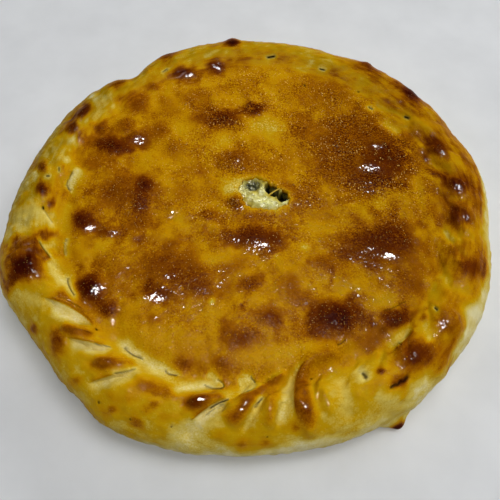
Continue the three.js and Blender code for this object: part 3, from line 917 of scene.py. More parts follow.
def shell_faces(counts):
    """Faces of a closed surface through rings of those lengths, from one middle point to another."""
    firsts = 1 + np.concatenate([[0], np.cumsum(counts)])

    def on_ring(k, i):
        return firsts[k] + i % counts[k]

    def joined(*corners):
        return np.stack(corners, 1).tolist()

    start = np.arange(counts[0])
    faces = joined(np.zeros_like(start), on_ring(0, start + 1), on_ring(0, start))
    for k in range(len(counts) - 1):
        n = k + 1
        j = np.arange(min(counts[k], counts[n]))
        if counts[k] == counts[n]:
            faces += joined(on_ring(k, j), on_ring(k, j + 1), on_ring(n, j + 1), on_ring(n, j))
        elif counts[k] > counts[n]:
            faces += joined(on_ring(k, 2 * j), on_ring(k, 2 * j + 1), on_ring(n, j))
            faces += joined(on_ring(k, 2 * j + 1), on_ring(n, j + 1), on_ring(n, j))
            faces += joined(on_ring(k, 2 * j + 1), on_ring(k, 2 * j + 2), on_ring(n, j + 1))
        else:
            faces += joined(on_ring(k, j), on_ring(n, 2 * j + 1), on_ring(n, 2 * j))
            faces += joined(on_ring(k, j), on_ring(k, j + 1), on_ring(n, 2 * j + 1))
            faces += joined(on_ring(k, j + 1), on_ring(n, 2 * j + 2), on_ring(n, 2 * j + 1))
    end = np.arange(counts[-1])
    last = len(counts) - 1
    faces += joined(on_ring(last, end), on_ring(last, end + 1), np.full_like(end, firsts[-1]))
    return faces


def shell_mesh(name, start, rings, end):
    points = np.vstack([[start], *rings, [end]])
    mesh = bpy.data.meshes.new(name)
    mesh.from_pydata(points.tolist(), [], shell_faces([len(r) for r in rings]))
    return mesh


def mesh_points(mesh):
    points = np.empty(len(mesh.vertices) * 3)
    mesh.vertices.foreach_get("co", points)
    return points.reshape(-1, 3)


def set_points(mesh, points):
    """Moves a mesh's points to places given in millimetres."""
    mesh.vertices.foreach_set("co", (points * MM).ravel())
    mesh.update()


def mesh_normals(mesh):
    normals = np.empty(len(mesh.vertices) * 3, np.float32)
    mesh.vertex_normals.foreach_get("vector", normals)
    return normals.reshape(-1, 3).astype(float)


def rounded(path):
    """A path with its corners rounded off."""
    path = np.asarray(path, float)
    for _ in range(2):
        near = path[:-1] * 0.75 + path[1:] * 0.25
        far = path[:-1] * 0.25 + path[1:] * 0.75
        path = np.vstack([path[:1], np.stack([near, far], 1).reshape(-1, 2), path[-1:]])
    return path


def path_side(pixels, path):
    """Distance in pixels to a path, positive to its right, and the share of its length passed there."""
    path = rounded(path)
    lengths = np.linalg.norm(np.diff(path, axis=0), axis=1)
    nearest = np.full(len(pixels), np.inf)
    side = np.zeros(len(pixels))
    along = np.zeros(len(pixels))
    done = 0.0
    for a, b, length in zip(path[:-1], path[1:], lengths):
        way = (b - a) / length
        out = pixels - a
        t = np.clip(out @ way, 0, length)
        distance = np.linalg.norm(out - t[:, None] * way, axis=1)
        closer = distance < nearest
        right = way[0] * out[:, 1] - way[1] * out[:, 0]
        nearest = np.where(closer, distance, nearest)
        side = np.where(closer, np.where(right < 0, -distance, distance), side)
        along = np.where(closer, (done + t) / lengths.sum(), along)
        done += length
    return side, along


def path_ends(along, fade):
    """1 along a path, falling to 0 at both ends."""
    return smooth(along, 0, fade) * (1 - smooth(along, 1 - fade, 1))


def blotch_reach(pixels, blotch):
    """Distance from a blotch's middle as a share of its size."""
    turn = math.radians(blotch.turn)
    du = pixels[:, 0] - blotch.u
    dv = pixels[:, 1] - blotch.v
    a = (du * math.cos(turn) + dv * math.sin(turn)) / blotch.wide
    b = (dv * math.cos(turn) - du * math.sin(turn)) / blotch.tall
    return np.hypot(a, b)


def store(mesh, name, values):
    attribute = mesh.attributes.new(name, "FLOAT", "POINT")
    attribute.data.foreach_set("value", np.asarray(values, np.float32))


def facing_camera(mesh):
    """How squarely each point of a mesh faces the camera."""
    to_camera = camera_frame()[0] - mesh_points(mesh)
    to_camera /= np.linalg.norm(to_camera, axis=1)[:, None]
    return (mesh_normals(mesh) * to_camera).sum(1)


def refine_near_edges(mesh):
    """Divides the faces beside slits and laps, so that their edges are sharp."""
    pixels = picture_pixels(mesh_points(mesh))
    near = np.zeros(len(pixels), bool)
    for slit in SLITS:
        near |= np.abs(path_side(pixels, slit.path)[0]) < slit.half_width + REFINE_BESIDE_SLIT
    for lap in LAPS:
        near |= np.abs(path_side(pixels, lap.path)[0]) < REFINE_BESIDE_LAP
    near &= facing_camera(mesh) > REFINE_FACING
    shape = bmesh.new()
    shape.from_mesh(mesh)
    shape.verts.ensure_lookup_table()
    edges = [e for e in shape.edges if near[e.verts[0].index] and near[e.verts[1].index]]
    bmesh.ops.subdivide_edges(shape, edges=edges, cuts=REFINE_CUTS, use_grid_fill=True)
    bmesh.ops.triangulate(shape, faces=[f for f in shape.faces if len(f.verts) > 4])
    shape.to_mesh(mesh)
    shape.free()


def crust_relief(points, pixels, shown):
    """How far each point of the crust stands out from its plain form."""
    relief = np.zeros(len(points))
    for stroke in STROKES:
        side, along = path_side(pixels, stroke.path)
        relief += stroke.rise * bell(side, stroke.half_width) * path_ends(along, STROKE_RISE_FADE)
    for lap in LAPS:
        side, along = path_side(pixels, lap.path)
        over = lap.lip * bell(side, lap.lip_width)
        under = -lap.drop * bell(side, lap.drop_width)
        relief += mix(over, under, smooth(side, -LAP_EDGE, LAP_EDGE)) * path_ends(along, LAP_FADE)
    for blotch in LID_BLOTCHES + RIM_BLOTCHES:
        reach = np.minimum(blotch_reach(pixels, blotch) / BLISTER_REACH, 1)
        relief += blotch.rise * (1 - reach**2) ** 2
    for slit in SLITS:
        relief -= slit.depth * bell(path_side(pixels, slit.path)[0], slit.half_width)
    return shown * relief + ripples(points, RELIEF_RIPPLES, past_seam(points, RELIEF_SEAM))


def facet_heights(points, pixels, free):
    """The points' heights with each facet flattened and tilted halfway between camera and lamp."""
    camera = camera_frame()[0]
    height = points[:, 2].copy()
    for facet in FACETS:
        apart = np.hypot(pixels[:, 0] - facet.u, pixels[:, 1] - facet.v)
        middle = np.argmin(np.where(free > 0.5, apart, np.inf))
        to_camera = camera - points[middle]
        to_lamp = LAMP - points[middle]
        half = to_camera / np.linalg.norm(to_camera) + to_lamp / np.linalg.norm(to_lamp)
        flat = height[middle] - (points[:, :2] - points[middle, :2]) @ (half[:2] / half[2])
        cover = facet.hold * free * (1 - smooth(blotch_reach(pixels, facet), *FACET_EDGE))
        height += cover * np.clip(flat - height, -FACET_CLIP, FACET_CLIP)
    return height


def by_direction(deg, seats):
    """A value that changes round the pie, from its values at some directions."""
    where, value = np.array(seats, float).T
    return np.interp(deg % 360, where, value, period=360)


def crust_bake(points, normals, pixels, shown):
    """How far each point of the crust is baked: 0 is raw dough, 0.45 gold and 1 burnt."""
    x, y, z = points.T
    deg = np.degrees(np.arctan2(y, x))
    on_rim = past_seam(points, BAKE_SEAM)
    bake = mix(LID_BAKE, by_direction(deg, RIM_BAKE), on_rim)
    wall = 1 - smooth(z, *WALL_TOP)
    bake = mix(bake, by_direction(deg, WALL_BAKE), wall * on_rim)
    pale_top = by_direction(deg, PALE_WALL) + ripples(points, PALE_RIPPLES)
    pale = 1 - smooth(z - pale_top, -PALE_BLEND, PALE_BLEND)
    bake = mix(bake, PALE_BAKE, pale * on_rim)
    # Mottling is strongest where the rim takes the most painted shade.
    mottled = on_rim * by_direction(deg, RIM_PAINTED_SHADE) * (1 - pale)
    bake += ripples(points, BAKE_RIPPLES, mottled)
    ragged = 1 + ripples(points, EDGE_RIPPLES)
    for blotch in LID_BLOTCHES + RIM_BLOTCHES:
        reach = blotch_reach(pixels, blotch) * ragged
        bake += shown * np.exp(-BLOTCH_FALL * reach**BLOTCH_POWER) * (blotch.level - bake)
    for stroke in STROKES:
        side, along = path_side(pixels, stroke.path)
        weight = bell(side * ragged, stroke.half_width) * path_ends(along, STROKE_BAKE_FADE)
        bake += shown * weight * (stroke.level - bake)
    for lap in LAPS:
        side, along = path_side(pixels, lap.path)
        ends = shown * path_ends(along, LAP_FADE)
        over = 1 - smooth(side, -LAP_EDGE, LAP_EDGE)
        bake += ends * over * bell(side, lap.lip_width) * (lap.lip_level - bake)
        bake += ends * (1 - over) * bell(side, lap.drop_width) * (lap.valley_level - bake)
    for slit in SLITS:
        if slit.lens:
            side, _ = path_side(pixels, slit.path)
            beside = smooth(side * slit.side, *SLIT_SIDE) if slit.side else 1
            bake += shown * bell(side, slit.lens) * beside * SLIT_PALENESS * (PALE_BAKE - bake)
    underside = smooth(-normals[:, 2], *UNDERSIDE_TILT) * (z < UNDERSIDE_TOP)
    bake = mix(bake, UNDERSIDE_BAKE + ripples(points, UNDERSIDE_RIPPLES), underside)
    lip = bell(beyond_vent(points), LIP_BAKE_WIDTH) * (np.hypot(x, y) < LIP_FROM_MIDDLE)
    bake = mix(bake, LIP_BAKE, LIP_BAKE_SHARE * lip)
    return np.clip(bake, 0, 1)


def crust_char_and_painted_shade(pixels, shown):
    """Black marks: painted shade inside slits and holes, char in the tear, and burnt specks, which are
    listed as short slits.
    """
    char = np.zeros(len(pixels))
    first, past = SLIT_DARK_EDGE
    for slit in SLITS:
        distance = np.abs(path_side(pixels, slit.path)[0])
        dark = slit.dark * (1 - smooth(distance, first, slit.half_width + past))
        char = np.maximum(char, shown * dark)
    return char


def crust_grain(points, pixels):
    """How grainy the skin is: most in the middle and right of the lid, least on the facets."""
    lid = mix(*LID_GRAIN, smooth(points[:, 0], *GRAIN_FROM_LEFT))
    grain = mix(lid, RIM_GRAIN, past_seam(points, GRAIN_SEAM))
    for facet in FACETS:
        grain = mix(grain, FACET_GRAIN, bell(blotch_reach(pixels, facet), 1.0))
    return grain


def crust_gloss(points, normals, pixels, bake):
    """How wet the skin shines: most on brown blisters and folds, little beside the seam and on the wall."""
    x, y, z = points.T
    radius = np.hypot(x, y)
    shoulder = bell(radius - SEAM_RADIUS + SHOULDER_INSIDE, SHOULDER_WIDTH) * smooth(-y, *SHOULDER_TO_FRONT)
    on_rim = past_seam(points, GLOSS_SEAM)
    gloss = smooth(bake, *GLOSS_BAKE) * mix(LID_GLOSS, RIM_GLOSS, on_rim)
    gloss *= (1 - SHOULDER_DULLNESS * shoulder) * (1 - smooth(y, *DULL_BACK) * on_rim)
    for patch in DULL_PATCHES:
        gloss *= 1 - patch.level * (1 - smooth(blotch_reach(pixels, patch), *DULL_EDGE))
    for facet in FACETS:
        gloss = np.maximum(gloss, bell(blotch_reach(pixels, facet), FACET_SHINE))
    on_top = smooth(z, *BRUSHED_HEIGHT) * (1 - smooth(radius, *BRUSHED_RADIUS))
    return gloss * on_top * smooth(normals[:, 2], *BRUSHED_TILT)


def crust_painted_shade(points):
    """How much painted shade darkens the crust: unevenly on the rim and its wall, and a little on the right
    of the lid.
    """
    x, y, z = points.T
    deg = np.degrees(np.arctan2(y, x))
    wall = 1 - smooth(z, *PAINTED_SHADE_WALL)
    lid_painted_shade = LID_PAINTED_SHADE * smooth(x, *LID_PAINTED_SHADE_FROM_LEFT)
    rim_painted_shade = mix(by_direction(deg, RIM_PAINTED_SHADE), by_direction(deg, WALL_PAINTED_SHADE), wall)
    shade = mix(lid_painted_shade, rim_painted_shade, past_seam(points, PAINTED_SHADE_SEAM))
    return np.clip(shade * (1 + ripples(points, PAINTED_SHADE_RIPPLES)), 0, MOST_PAINTED_SHADE)


def crust_streaks(points, bake):
    """How far the brush left streaks: on top of the rim, less among the front folds and on pale dough."""
    on_rim = past_seam(points, STREAK_SEAM)
    on_top = mix(STREAK_WALL, 1, smooth(points[:, 2], *STREAK_HEIGHTS))
    at_front = mix(1, STREAK_FRONT, smooth(-points[:, 1], *STREAK_TO_FRONT))
    return on_rim * on_top * at_front * mix(STREAK_PALE, 1, smooth(bake, *STREAK_PALE_BAKE))


def crust_flecks_and_painted_glints(points):
    """How many dark flecks and bright painted glints there are: most on the lid's back right, fewest on the
    rim.
    """
    lid = mix(*LID_FLECKS_AND_GLINTS, smooth(points[:, 0], *FLECKS_AND_GLINTS_FROM_LEFT))
    lid = mix(FRONT_FLECKS_AND_GLINTS, lid, smooth(points[:, 1], *FLECKS_AND_GLINTS_FROM_FRONT))
    return mix(lid, RIM_FLECKS_AND_GLINTS, past_seam(points, GRAIN_SEAM))


def crust_bubbly(points, normals, char):
    """How many bubbles stand in the skin: most on the lid, and none by the vent, on the wall or in slits."""
    clear = smooth(beyond_vent(points), *BUBBLES_PAST_VENT) * (char < BUBBLES_CHAR_AND_PAINTED_SHADE)
    on_top = (normals[:, 2] > BUBBLES_TILT) * (points[:, 2] > BUBBLES_HEIGHT)
    bubbly = mix(1, RIM_BUBBLES, past_seam(points, GRAIN_SEAM))
    return clear * on_top * bubbly * in_open_air(points)


def in_open_air(points):
    """1 on the crust's outer face and 0 on the walls of its cavity."""
    x, y, z = points.T
    within = (np.hypot(x, y) < CAVITY_RADIUS + CAVITY_MARGIN) & (z > CAVITY_MARGIN)
    deep = z < lid_form(x, y) - SKIN_DEPTH
    return 1.0 - (within & deep)


def crust_mesh():
    """The crust in relief, with its finish as values at its points."""
    seats = column_seats()
    rim = rim_rings(seats)
    base = [rim[0][::step] * share for step, share in BASE_RINGS]
    cavity = cavity_rings(0, seats[::CAVITY_COLUMN_STEP])
    rings = [*base, *rim, *lid_rings(seats, rim[-1]), *cavity]
    mesh = shell_mesh("baked_crust", (0, 0, 0), rings, (0, 0, BASE_THICKNESS))
    refine_near_edges(mesh)
    points = mesh_points(mesh)
    normals = mesh_normals(mesh)
    shown = smooth(facing_camera(mesh), *SHOWN_FACING)
    below = points[:, 2] < lid_form(*points[:, :2].T) - VENT_MARGIN
    inside = (beyond_vent(points) < VENT_MARGIN) & below
    outside = smooth(points[:, 2], *RELIEF_HEIGHTS) * ~inside * in_open_air(points)
    relief = crust_relief(points, picture_pixels(points), shown) * outside
    points = points + normals * relief[:, None]
    points[:, 2] = facet_heights(points, picture_pixels(points), outside * (normals[:, 2] > FACET_TILT))
    set_points(mesh, points)
    pixels = picture_pixels(points)
    bake = crust_bake(points, normals, pixels, shown)
    char = crust_char_and_painted_shade(pixels, shown)
    store(mesh, "bake", bake)
    store(mesh, "char", char)
    store(mesh, "shade", crust_painted_shade(points))
    store(mesh, "streaks", crust_streaks(points, bake))
    store(mesh, "gloss", crust_gloss(points, mesh_normals(mesh), pixels, bake))
    store(mesh, "grain", crust_grain(points, pixels))
    store(mesh, "flecks", crust_flecks_and_painted_glints(points))
    store(mesh, "bubbly", crust_bubbly(points, normals, char))
    return mesh


def patch_weight(pixels, patches, edge):
    """How strongly patches in the vent cover each pixel, and how far they lift it."""
    weight = np.zeros(len(pixels))
    lift = np.zeros(len(pixels))
    for patch in patches:
        cover = 1 - smooth(blotch_reach(pixels, patch), *edge)
        weight = np.maximum(weight, patch.level * cover)
        lift += patch.rise * cover
    return weight, lift


def filling_mesh():
    """The filling: it takes up the cavity and rises in the vent as a lumpy mound with gaps beside it."""
    seats = np.arange(MOUND_COLUMNS) * 360 / MOUND_COLUMNS
    rings = cavity_rings(FILLING_GAP + FILLING_SHRINK, seats)[::-1]
    for share in MOUND_SHARES:
        xy = vent_edge(seats, share)
        fall = mix(MOUND_FALL, MOUND_EDGE_FALL, smooth(share, 0.5, 1))
        rings.append(np.column_stack([xy, lid_form(*xy.T) + VENT_LIP - fall]))
    middle = np.array([*VENT_MIDDLE, lid_form(*VENT_MIDDLE) + VENT_LIP - MOUND_FALL])
    mesh = shell_mesh("curd_filling", (0, 0, BASE_THICKNESS + FILLING_GAP), rings, middle)
    points = mesh_points(mesh)
    pixels = picture_pixels(points)
    raised = points[:, 2] > MOUND_HEIGHT
    inside = smooth(-beyond_vent(points), *MOUND_INSIDE) * raised
    on_mound = smooth(-beyond_vent(points), *BITS_INSIDE) * raised
    herb, herb_lift = patch_weight(pixels, HERB_HOLLOWS, PATCH_EDGE)
    gap, gap_lift = patch_weight(pixels, DARK_GAPS, GAP_EDGE)
    curd, curd_lift = patch_weight(pixels, CURD_LUMPS, PATCH_EDGE)
    points[:, 2] += inside * (herb_lift + gap_lift + curd_lift + ripples(points, MOUND_RIPPLES))
    set_points(mesh, points)
    curd = curd * (1 - gap) * (1 - herb)
    herb = herb * (1 - gap)
    store(mesh, "gap", smooth(inside * gap, 0.05, 0.4))
    store(mesh, "herb", inside * herb)
    store(mesh, "curd", inside * curd)
    store(mesh, "herb_spots", on_mound * herb)
    store(mesh, "curd_spots", on_mound * curd)
    return mesh


def tube_mesh(name, path, radius, sides):
    """A closed tube along a path of points, thinner towards its ends."""
    path = np.asarray(path, float)
    ways = np.gradient(path, axis=0)
    ways /= np.linalg.norm(ways, axis=1)[:, None]
    rings = []
    for k, (point, way) in enumerate(zip(path, ways)):
        across = np.cross(way, (0, 0, 1))
        across /= np.linalg.norm(across)
        up = np.cross(way, across)
        thick = radius * mix(0.6, 1, math.sin(math.pi * (k + 0.5) / len(path)))
        rings.append(point + thick * (around(sides) @ np.array([across, up])))
    tip = 0.3 * radius
    return shell_mesh(name, path[0] - ways[0] * tip, rings, path[-1] + ways[-1] * tip)


def strand_mesh():
    """A strand of dough left across the vent's dark gap."""
    path = rounded(rounded(STRAND))
    level = lid_form(*VENT_MIDDLE) + VENT_LIP - STRAND_DROP
    mesh = tube_mesh("vent_strand", on_level(path, level), STRAND_RADIUS, sides=8)
    points = mesh_points(mesh)
    set_points(mesh, points)
    for name, value in STRAND_FINISH.items():
        store(mesh, name, np.full(len(points), value))
    return mesh


def dome_mesh(name):
    """A small dome on a sunken foot, one millimetre in radius."""
    way = around(DOME_SIDES)
    profile = ((1, -0.1), (0.7, 0.62 * DOME_RISE))
    rings = [np.column_stack([way * radius, np.full(DOME_SIDES, height)]) for radius, height in profile]
    mesh = shell_mesh(name, (0, 0, -0.3), rings, (0, 0, DOME_RISE))
    set_points(mesh, mesh_points(mesh))
    return mesh


def lump_mesh(name, seed):
    """A small uneven lump of curd, one millimetre in radius."""
    shape = bmesh.new()
    bmesh.ops.create_icosphere(shape, subdivisions=1, radius=1)
    mesh = bpy.data.meshes.new(name)
    shape.to_mesh(mesh)
    shape.free()
    points = mesh_points(mesh)
    points *= (1 + LUMP_RIPPLES * ripple(points, LUMP_WAVELENGTH, seed))[:, None] * LUMP_FORM
    set_points(mesh, points)
    return mesh


def shred_mesh(name, bend):
    """A thin bent shred of herb, about two millimetres long."""
    along = np.linspace(-1, 1, 5)
    path = np.stack([along, bend * (1 - along**2), SHRED_ARCH * (1 - along**2)], 1)
    mesh = tube_mesh(name, path, SHRED_RADIUS, sides=5)
    set_points(mesh, mesh_points(mesh))
    return mesh


def add_node(tree, kind, **settings):
    node = tree.nodes.new(kind)
    for name, value in settings.items():
        setattr(node, name, value)
    return node


def feed(tree, socket, value):
    """Sets a socket to a number or colour, or links it to another node's output."""
    if isinstance(value, (int, float, tuple)):
        socket.default_value = value
    else:
        tree.links.new(value, socket)


def math_node(tree, operation, *values, clamp=False):
    node = add_node(tree, "ShaderNodeMath", operation=operation, use_clamp=clamp)
    for socket, value in zip(node.inputs, values):
        feed(tree, socket, value)
    return node.outputs[0]


def scatter_tree(name, shapes, where, material, tilt):
    """Geometry nodes that scatter shapes over a surface, most where its named attribute is high."""
    # A random value takes the ends of its range at inputs 0 and 1 for a vector, and at 2 and 3 for a number.
    tree = bpy.data.node_groups.new(name, "GeometryNodeTree")
    tree.interface.new_socket("Surface", in_out="INPUT", socket_type="NodeSocketGeometry")
    for label, kind in (("Density", "Float"), ("Smallest", "Float"), ("Largest", "Float"), ("Seed", "Int")):
        tree.interface.new_socket(label, in_out="INPUT", socket_type="NodeSocket" + kind)
    tree.interface.new_socket("Pieces", in_out="OUTPUT", socket_type="NodeSocketGeometry")
    link = tree.links.new
    start = tree.nodes.new("NodeGroupInput")
    end = tree.nodes.new("NodeGroupOutput")
    amount = add_node(tree, "GeometryNodeInputNamedAttribute", data_type="FLOAT")
    amount.inputs["Name"].default_value = where
    density = math_node(tree, "MULTIPLY", amount.outputs["Attribute"], start.outputs["Density"])
    spread = add_node(tree, "GeometryNodeDistributePointsOnFaces", distribute_method="RANDOM")
    link(start.outputs["Surface"], spread.inputs["Mesh"])
    link(density, spread.inputs["Density"])
    link(start.outputs["Seed"], spread.inputs["Seed"])
    # Each shape's bake is paled at random, which paints highlights on the bubbles.
    painted_highlight = add_node(tree, "FunctionNodeRandomValue", data_type="FLOAT")
    painted_highlight.inputs[2].default_value, painted_highlight.inputs[3].default_value = PAINTED_HIGHLIGHT_BAKE_SHARE
    bake = add_node(tree, "GeometryNodeInputNamedAttribute", data_type="FLOAT")
    bake.inputs["Name"].default_value = "bake"
    marked = add_node(tree, "GeometryNodeStoreNamedAttribute", data_type="FLOAT", domain="POINT")
    marked.inputs["Name"].default_value = "bake"
    link(spread.outputs["Points"], marked.inputs["Geometry"])
    link(math_node(tree, "MULTIPLY", bake.outputs["Attribute"], painted_highlight.outputs[1]), marked.inputs["Value"])
    turn = add_node(tree, "FunctionNodeRandomValue", data_type="FLOAT_VECTOR")
    turn.inputs[0].default_value = (-tilt, -tilt, 0)
    turn.inputs[1].default_value = (tilt, tilt, 2 * math.pi)
    link(start.outputs["Seed"], turn.inputs["Seed"])
    turned = add_node(tree, "FunctionNodeRotateRotation", rotation_space="LOCAL")
    link(spread.outputs["Rotation"], turned.inputs[0])
    link(turn.outputs[0], turned.inputs[1])
    size = add_node(tree, "FunctionNodeRandomValue", data_type="FLOAT")
    link(start.outputs["Smallest"], size.inputs[2])
    link(start.outputs["Largest"], size.inputs[3])
    link(start.outputs["Seed"], size.inputs["Seed"])
    kinds = add_node(tree, "GeometryNodeCollectionInfo")
    kinds.inputs["Collection"].default_value = shapes
    kinds.inputs["Separate Children"].default_value = True
    kinds.inputs["Reset Children"].default_value = True
    place = add_node(tree, "GeometryNodeInstanceOnPoints")
    place.inputs["Pick Instance"].default_value = True
    link(marked.outputs["Geometry"], place.inputs["Points"])
    link(kinds.outputs["Instances"], place.inputs["Instance"])
    link(turned.outputs[0], place.inputs["Rotation"])
    link(size.outputs[1], place.inputs["Scale"])
    real = add_node(tree, "GeometryNodeRealizeInstances")
    link(place.outputs["Instances"], real.inputs["Geometry"])
    painted = add_node(tree, "GeometryNodeSetMaterial")
    painted.inputs["Material"].default_value = material
    link(real.outputs["Geometry"], painted.inputs["Geometry"])
    link(painted.outputs["Geometry"], end.inputs["Pieces"])
    return tree


def scatter(name, surface, shapes, where, material, sizes, tilt=0.0):
    """A piece made of shapes scattered over a surface by geometry nodes, as a plain mesh."""
    stock = bpy.data.collections.new(name + "_shapes")
    bpy.context.scene.collection.children.link(stock)
    for mesh in shapes:
        stock.objects.link(bpy.data.objects.new(mesh.name, mesh))
    piece = bpy.data.objects.new(name, surface.data.copy())
    bpy.context.scene.collection.objects.link(piece)
    tree = scatter_tree(name, stock, where, material, tilt)
    nodes = piece.modifiers.new("scatter", "NODES")
    nodes.node_group = tree
    for item in tree.interface.items_tree:
        if item.in_out == "INPUT" and item.name in sizes:
            nodes[item.identifier] = sizes[item.name]
    done = piece.evaluated_get(bpy.context.evaluated_depsgraph_get())
    mesh = bpy.data.meshes.new_from_object(done)
    piece.modifiers.clear()
    piece.data = mesh
    mesh.shade_smooth()
    for shape in list(stock.objects):
        bpy.data.objects.remove(shape)
    bpy.data.collections.remove(stock)
    return piece


def linear(red, green, blue):
    """A colour as the picture shows it, 0 to 255, in the linear values that shaders take."""
    share = np.array([red, green, blue]) / 255
    light = np.where(share <= 0.04045, share / 12.92, ((share + 0.055) / 1.055) ** 2.4)
    return (*light.tolist(), 1.0)


def object_place(tree):
    return add_node(tree, "ShaderNodeTexCoord").outputs["Object"]


def noise(tree, coordinates, scale, detail, rough):
    node = add_node(tree, "ShaderNodeTexNoise")
    feed(tree, node.inputs["Vector"], coordinates)
    for name, value in (("Scale", scale), ("Detail", detail), ("Roughness", rough)):
        feed(tree, node.inputs[name], value)
    return node.outputs["Fac"]


def map_range(tree, value, source, target):
    """Turns values in the source range into values in the target range."""
    node = add_node(tree, "ShaderNodeMapRange")
    tree.links.new(value, node.inputs["Value"])
    for name, number in zip(("From Min", "From Max", "To Min", "To Max"), (*source, *target)):
        node.inputs[name].default_value = number
    return node.outputs["Result"]


def mix_colours(tree, share, a, b, blend="MIX"):
    node = add_node(tree, "ShaderNodeMix", data_type="RGBA", blend_type=blend)
    # Inputs 6 and 7 and output 2 are the ones for colours.
    for socket, value in ((node.inputs[0], share), (node.inputs[6], a), (node.inputs[7], b)):
        feed(tree, socket, value)
    return node.outputs[2]


def attribute(tree, name):
    return add_node(tree, "ShaderNodeAttribute", attribute_name=name).outputs["Fac"]


def ramp(tree, value, stops):
    node = add_node(tree, "ShaderNodeValToRGB")
    elements = node.color_ramp.elements
    while len(elements) < len(stops):
        elements.new(0.5)
    for element, (place, colour) in zip(elements, stops):
        element.position = place
        element.color = colour
    tree.links.new(value, node.inputs["Fac"])
    return node.outputs["Color"]


def new_group(name, inputs, outputs):
    tree = bpy.data.node_groups.new(name, "ShaderNodeTree")
    for label, kind, value in inputs:
        socket = tree.interface.new_socket(label, in_out="INPUT", socket_type=kind)
        socket.default_value = value
    for label, kind in outputs:
        tree.interface.new_socket(label, in_out="OUTPUT", socket_type=kind)
    return tree, tree.nodes.new("NodeGroupInput"), tree.nodes.new("NodeGroupOutput")


# Colours from raw dough to burnt, by bake level, and from dark to light for the filling's parts.
BAKED_COLOURS = (
    (0.00, linear(234, 222, 165)),
    (0.14, linear(216, 191, 86)),
    (0.28, linear(198, 156, 10)),
    (0.44, linear(190, 134, 2)),
    (0.58, linear(152, 90, 1)),
    (0.72, linear(104, 46, 1)),
    (0.86, linear(62, 14, 2)),
    (1.00, linear(24, 6, 2)),
)
# Painted shade: the tone the crust's colour is multiplied towards, darker and duller.
PAINTED_SHADE_TONE = (0.60, 0.61, 0.70, 1.0)
# Painted glints: the colour of bright flecks that stand for tiny glints.
PAINTED_GLINT_COLOUR = linear(250, 208, 112)
# Char, also used as painted shade inside slits and holes.
CHAR_AND_PAINTED_SHADE_COLOUR = linear(20, 12, 4)
FILLING_COLOURS = (
    (0.30, linear(138, 116, 24)),
    (0.50, linear(188, 170, 62)),
    (0.70, linear(216, 204, 110)),
)
CREAM_COLOURS = (
    (0.30, linear(196, 186, 92)),
    (0.50, linear(234, 230, 150)),
    (0.70, linear(250, 248, 196)),
)
GREEN_COLOURS = (
    (0.35, linear(24, 26, 12)),
    (0.50, linear(84, 84, 52)),
    (0.68, linear(170, 168, 122)),
)
# Painted shade, near black, for the vent's gaps.
PAINTED_GAP_SHADE_COLOUR = linear(8, 9, 4)
CURD_COLOURS = ((0.3, linear(196, 184, 88)), (0.7, linear(244, 240, 180)))
HERB_COLOURS = ((0.3, linear(18, 22, 8)), (0.7, linear(92, 94, 60)))
FLOOR_COLOURS = ((0.3, linear(217, 219, 221)), (0.7, linear(225, 227, 229)))
BACKDROP_COLOUR = linear(184, 186, 188)


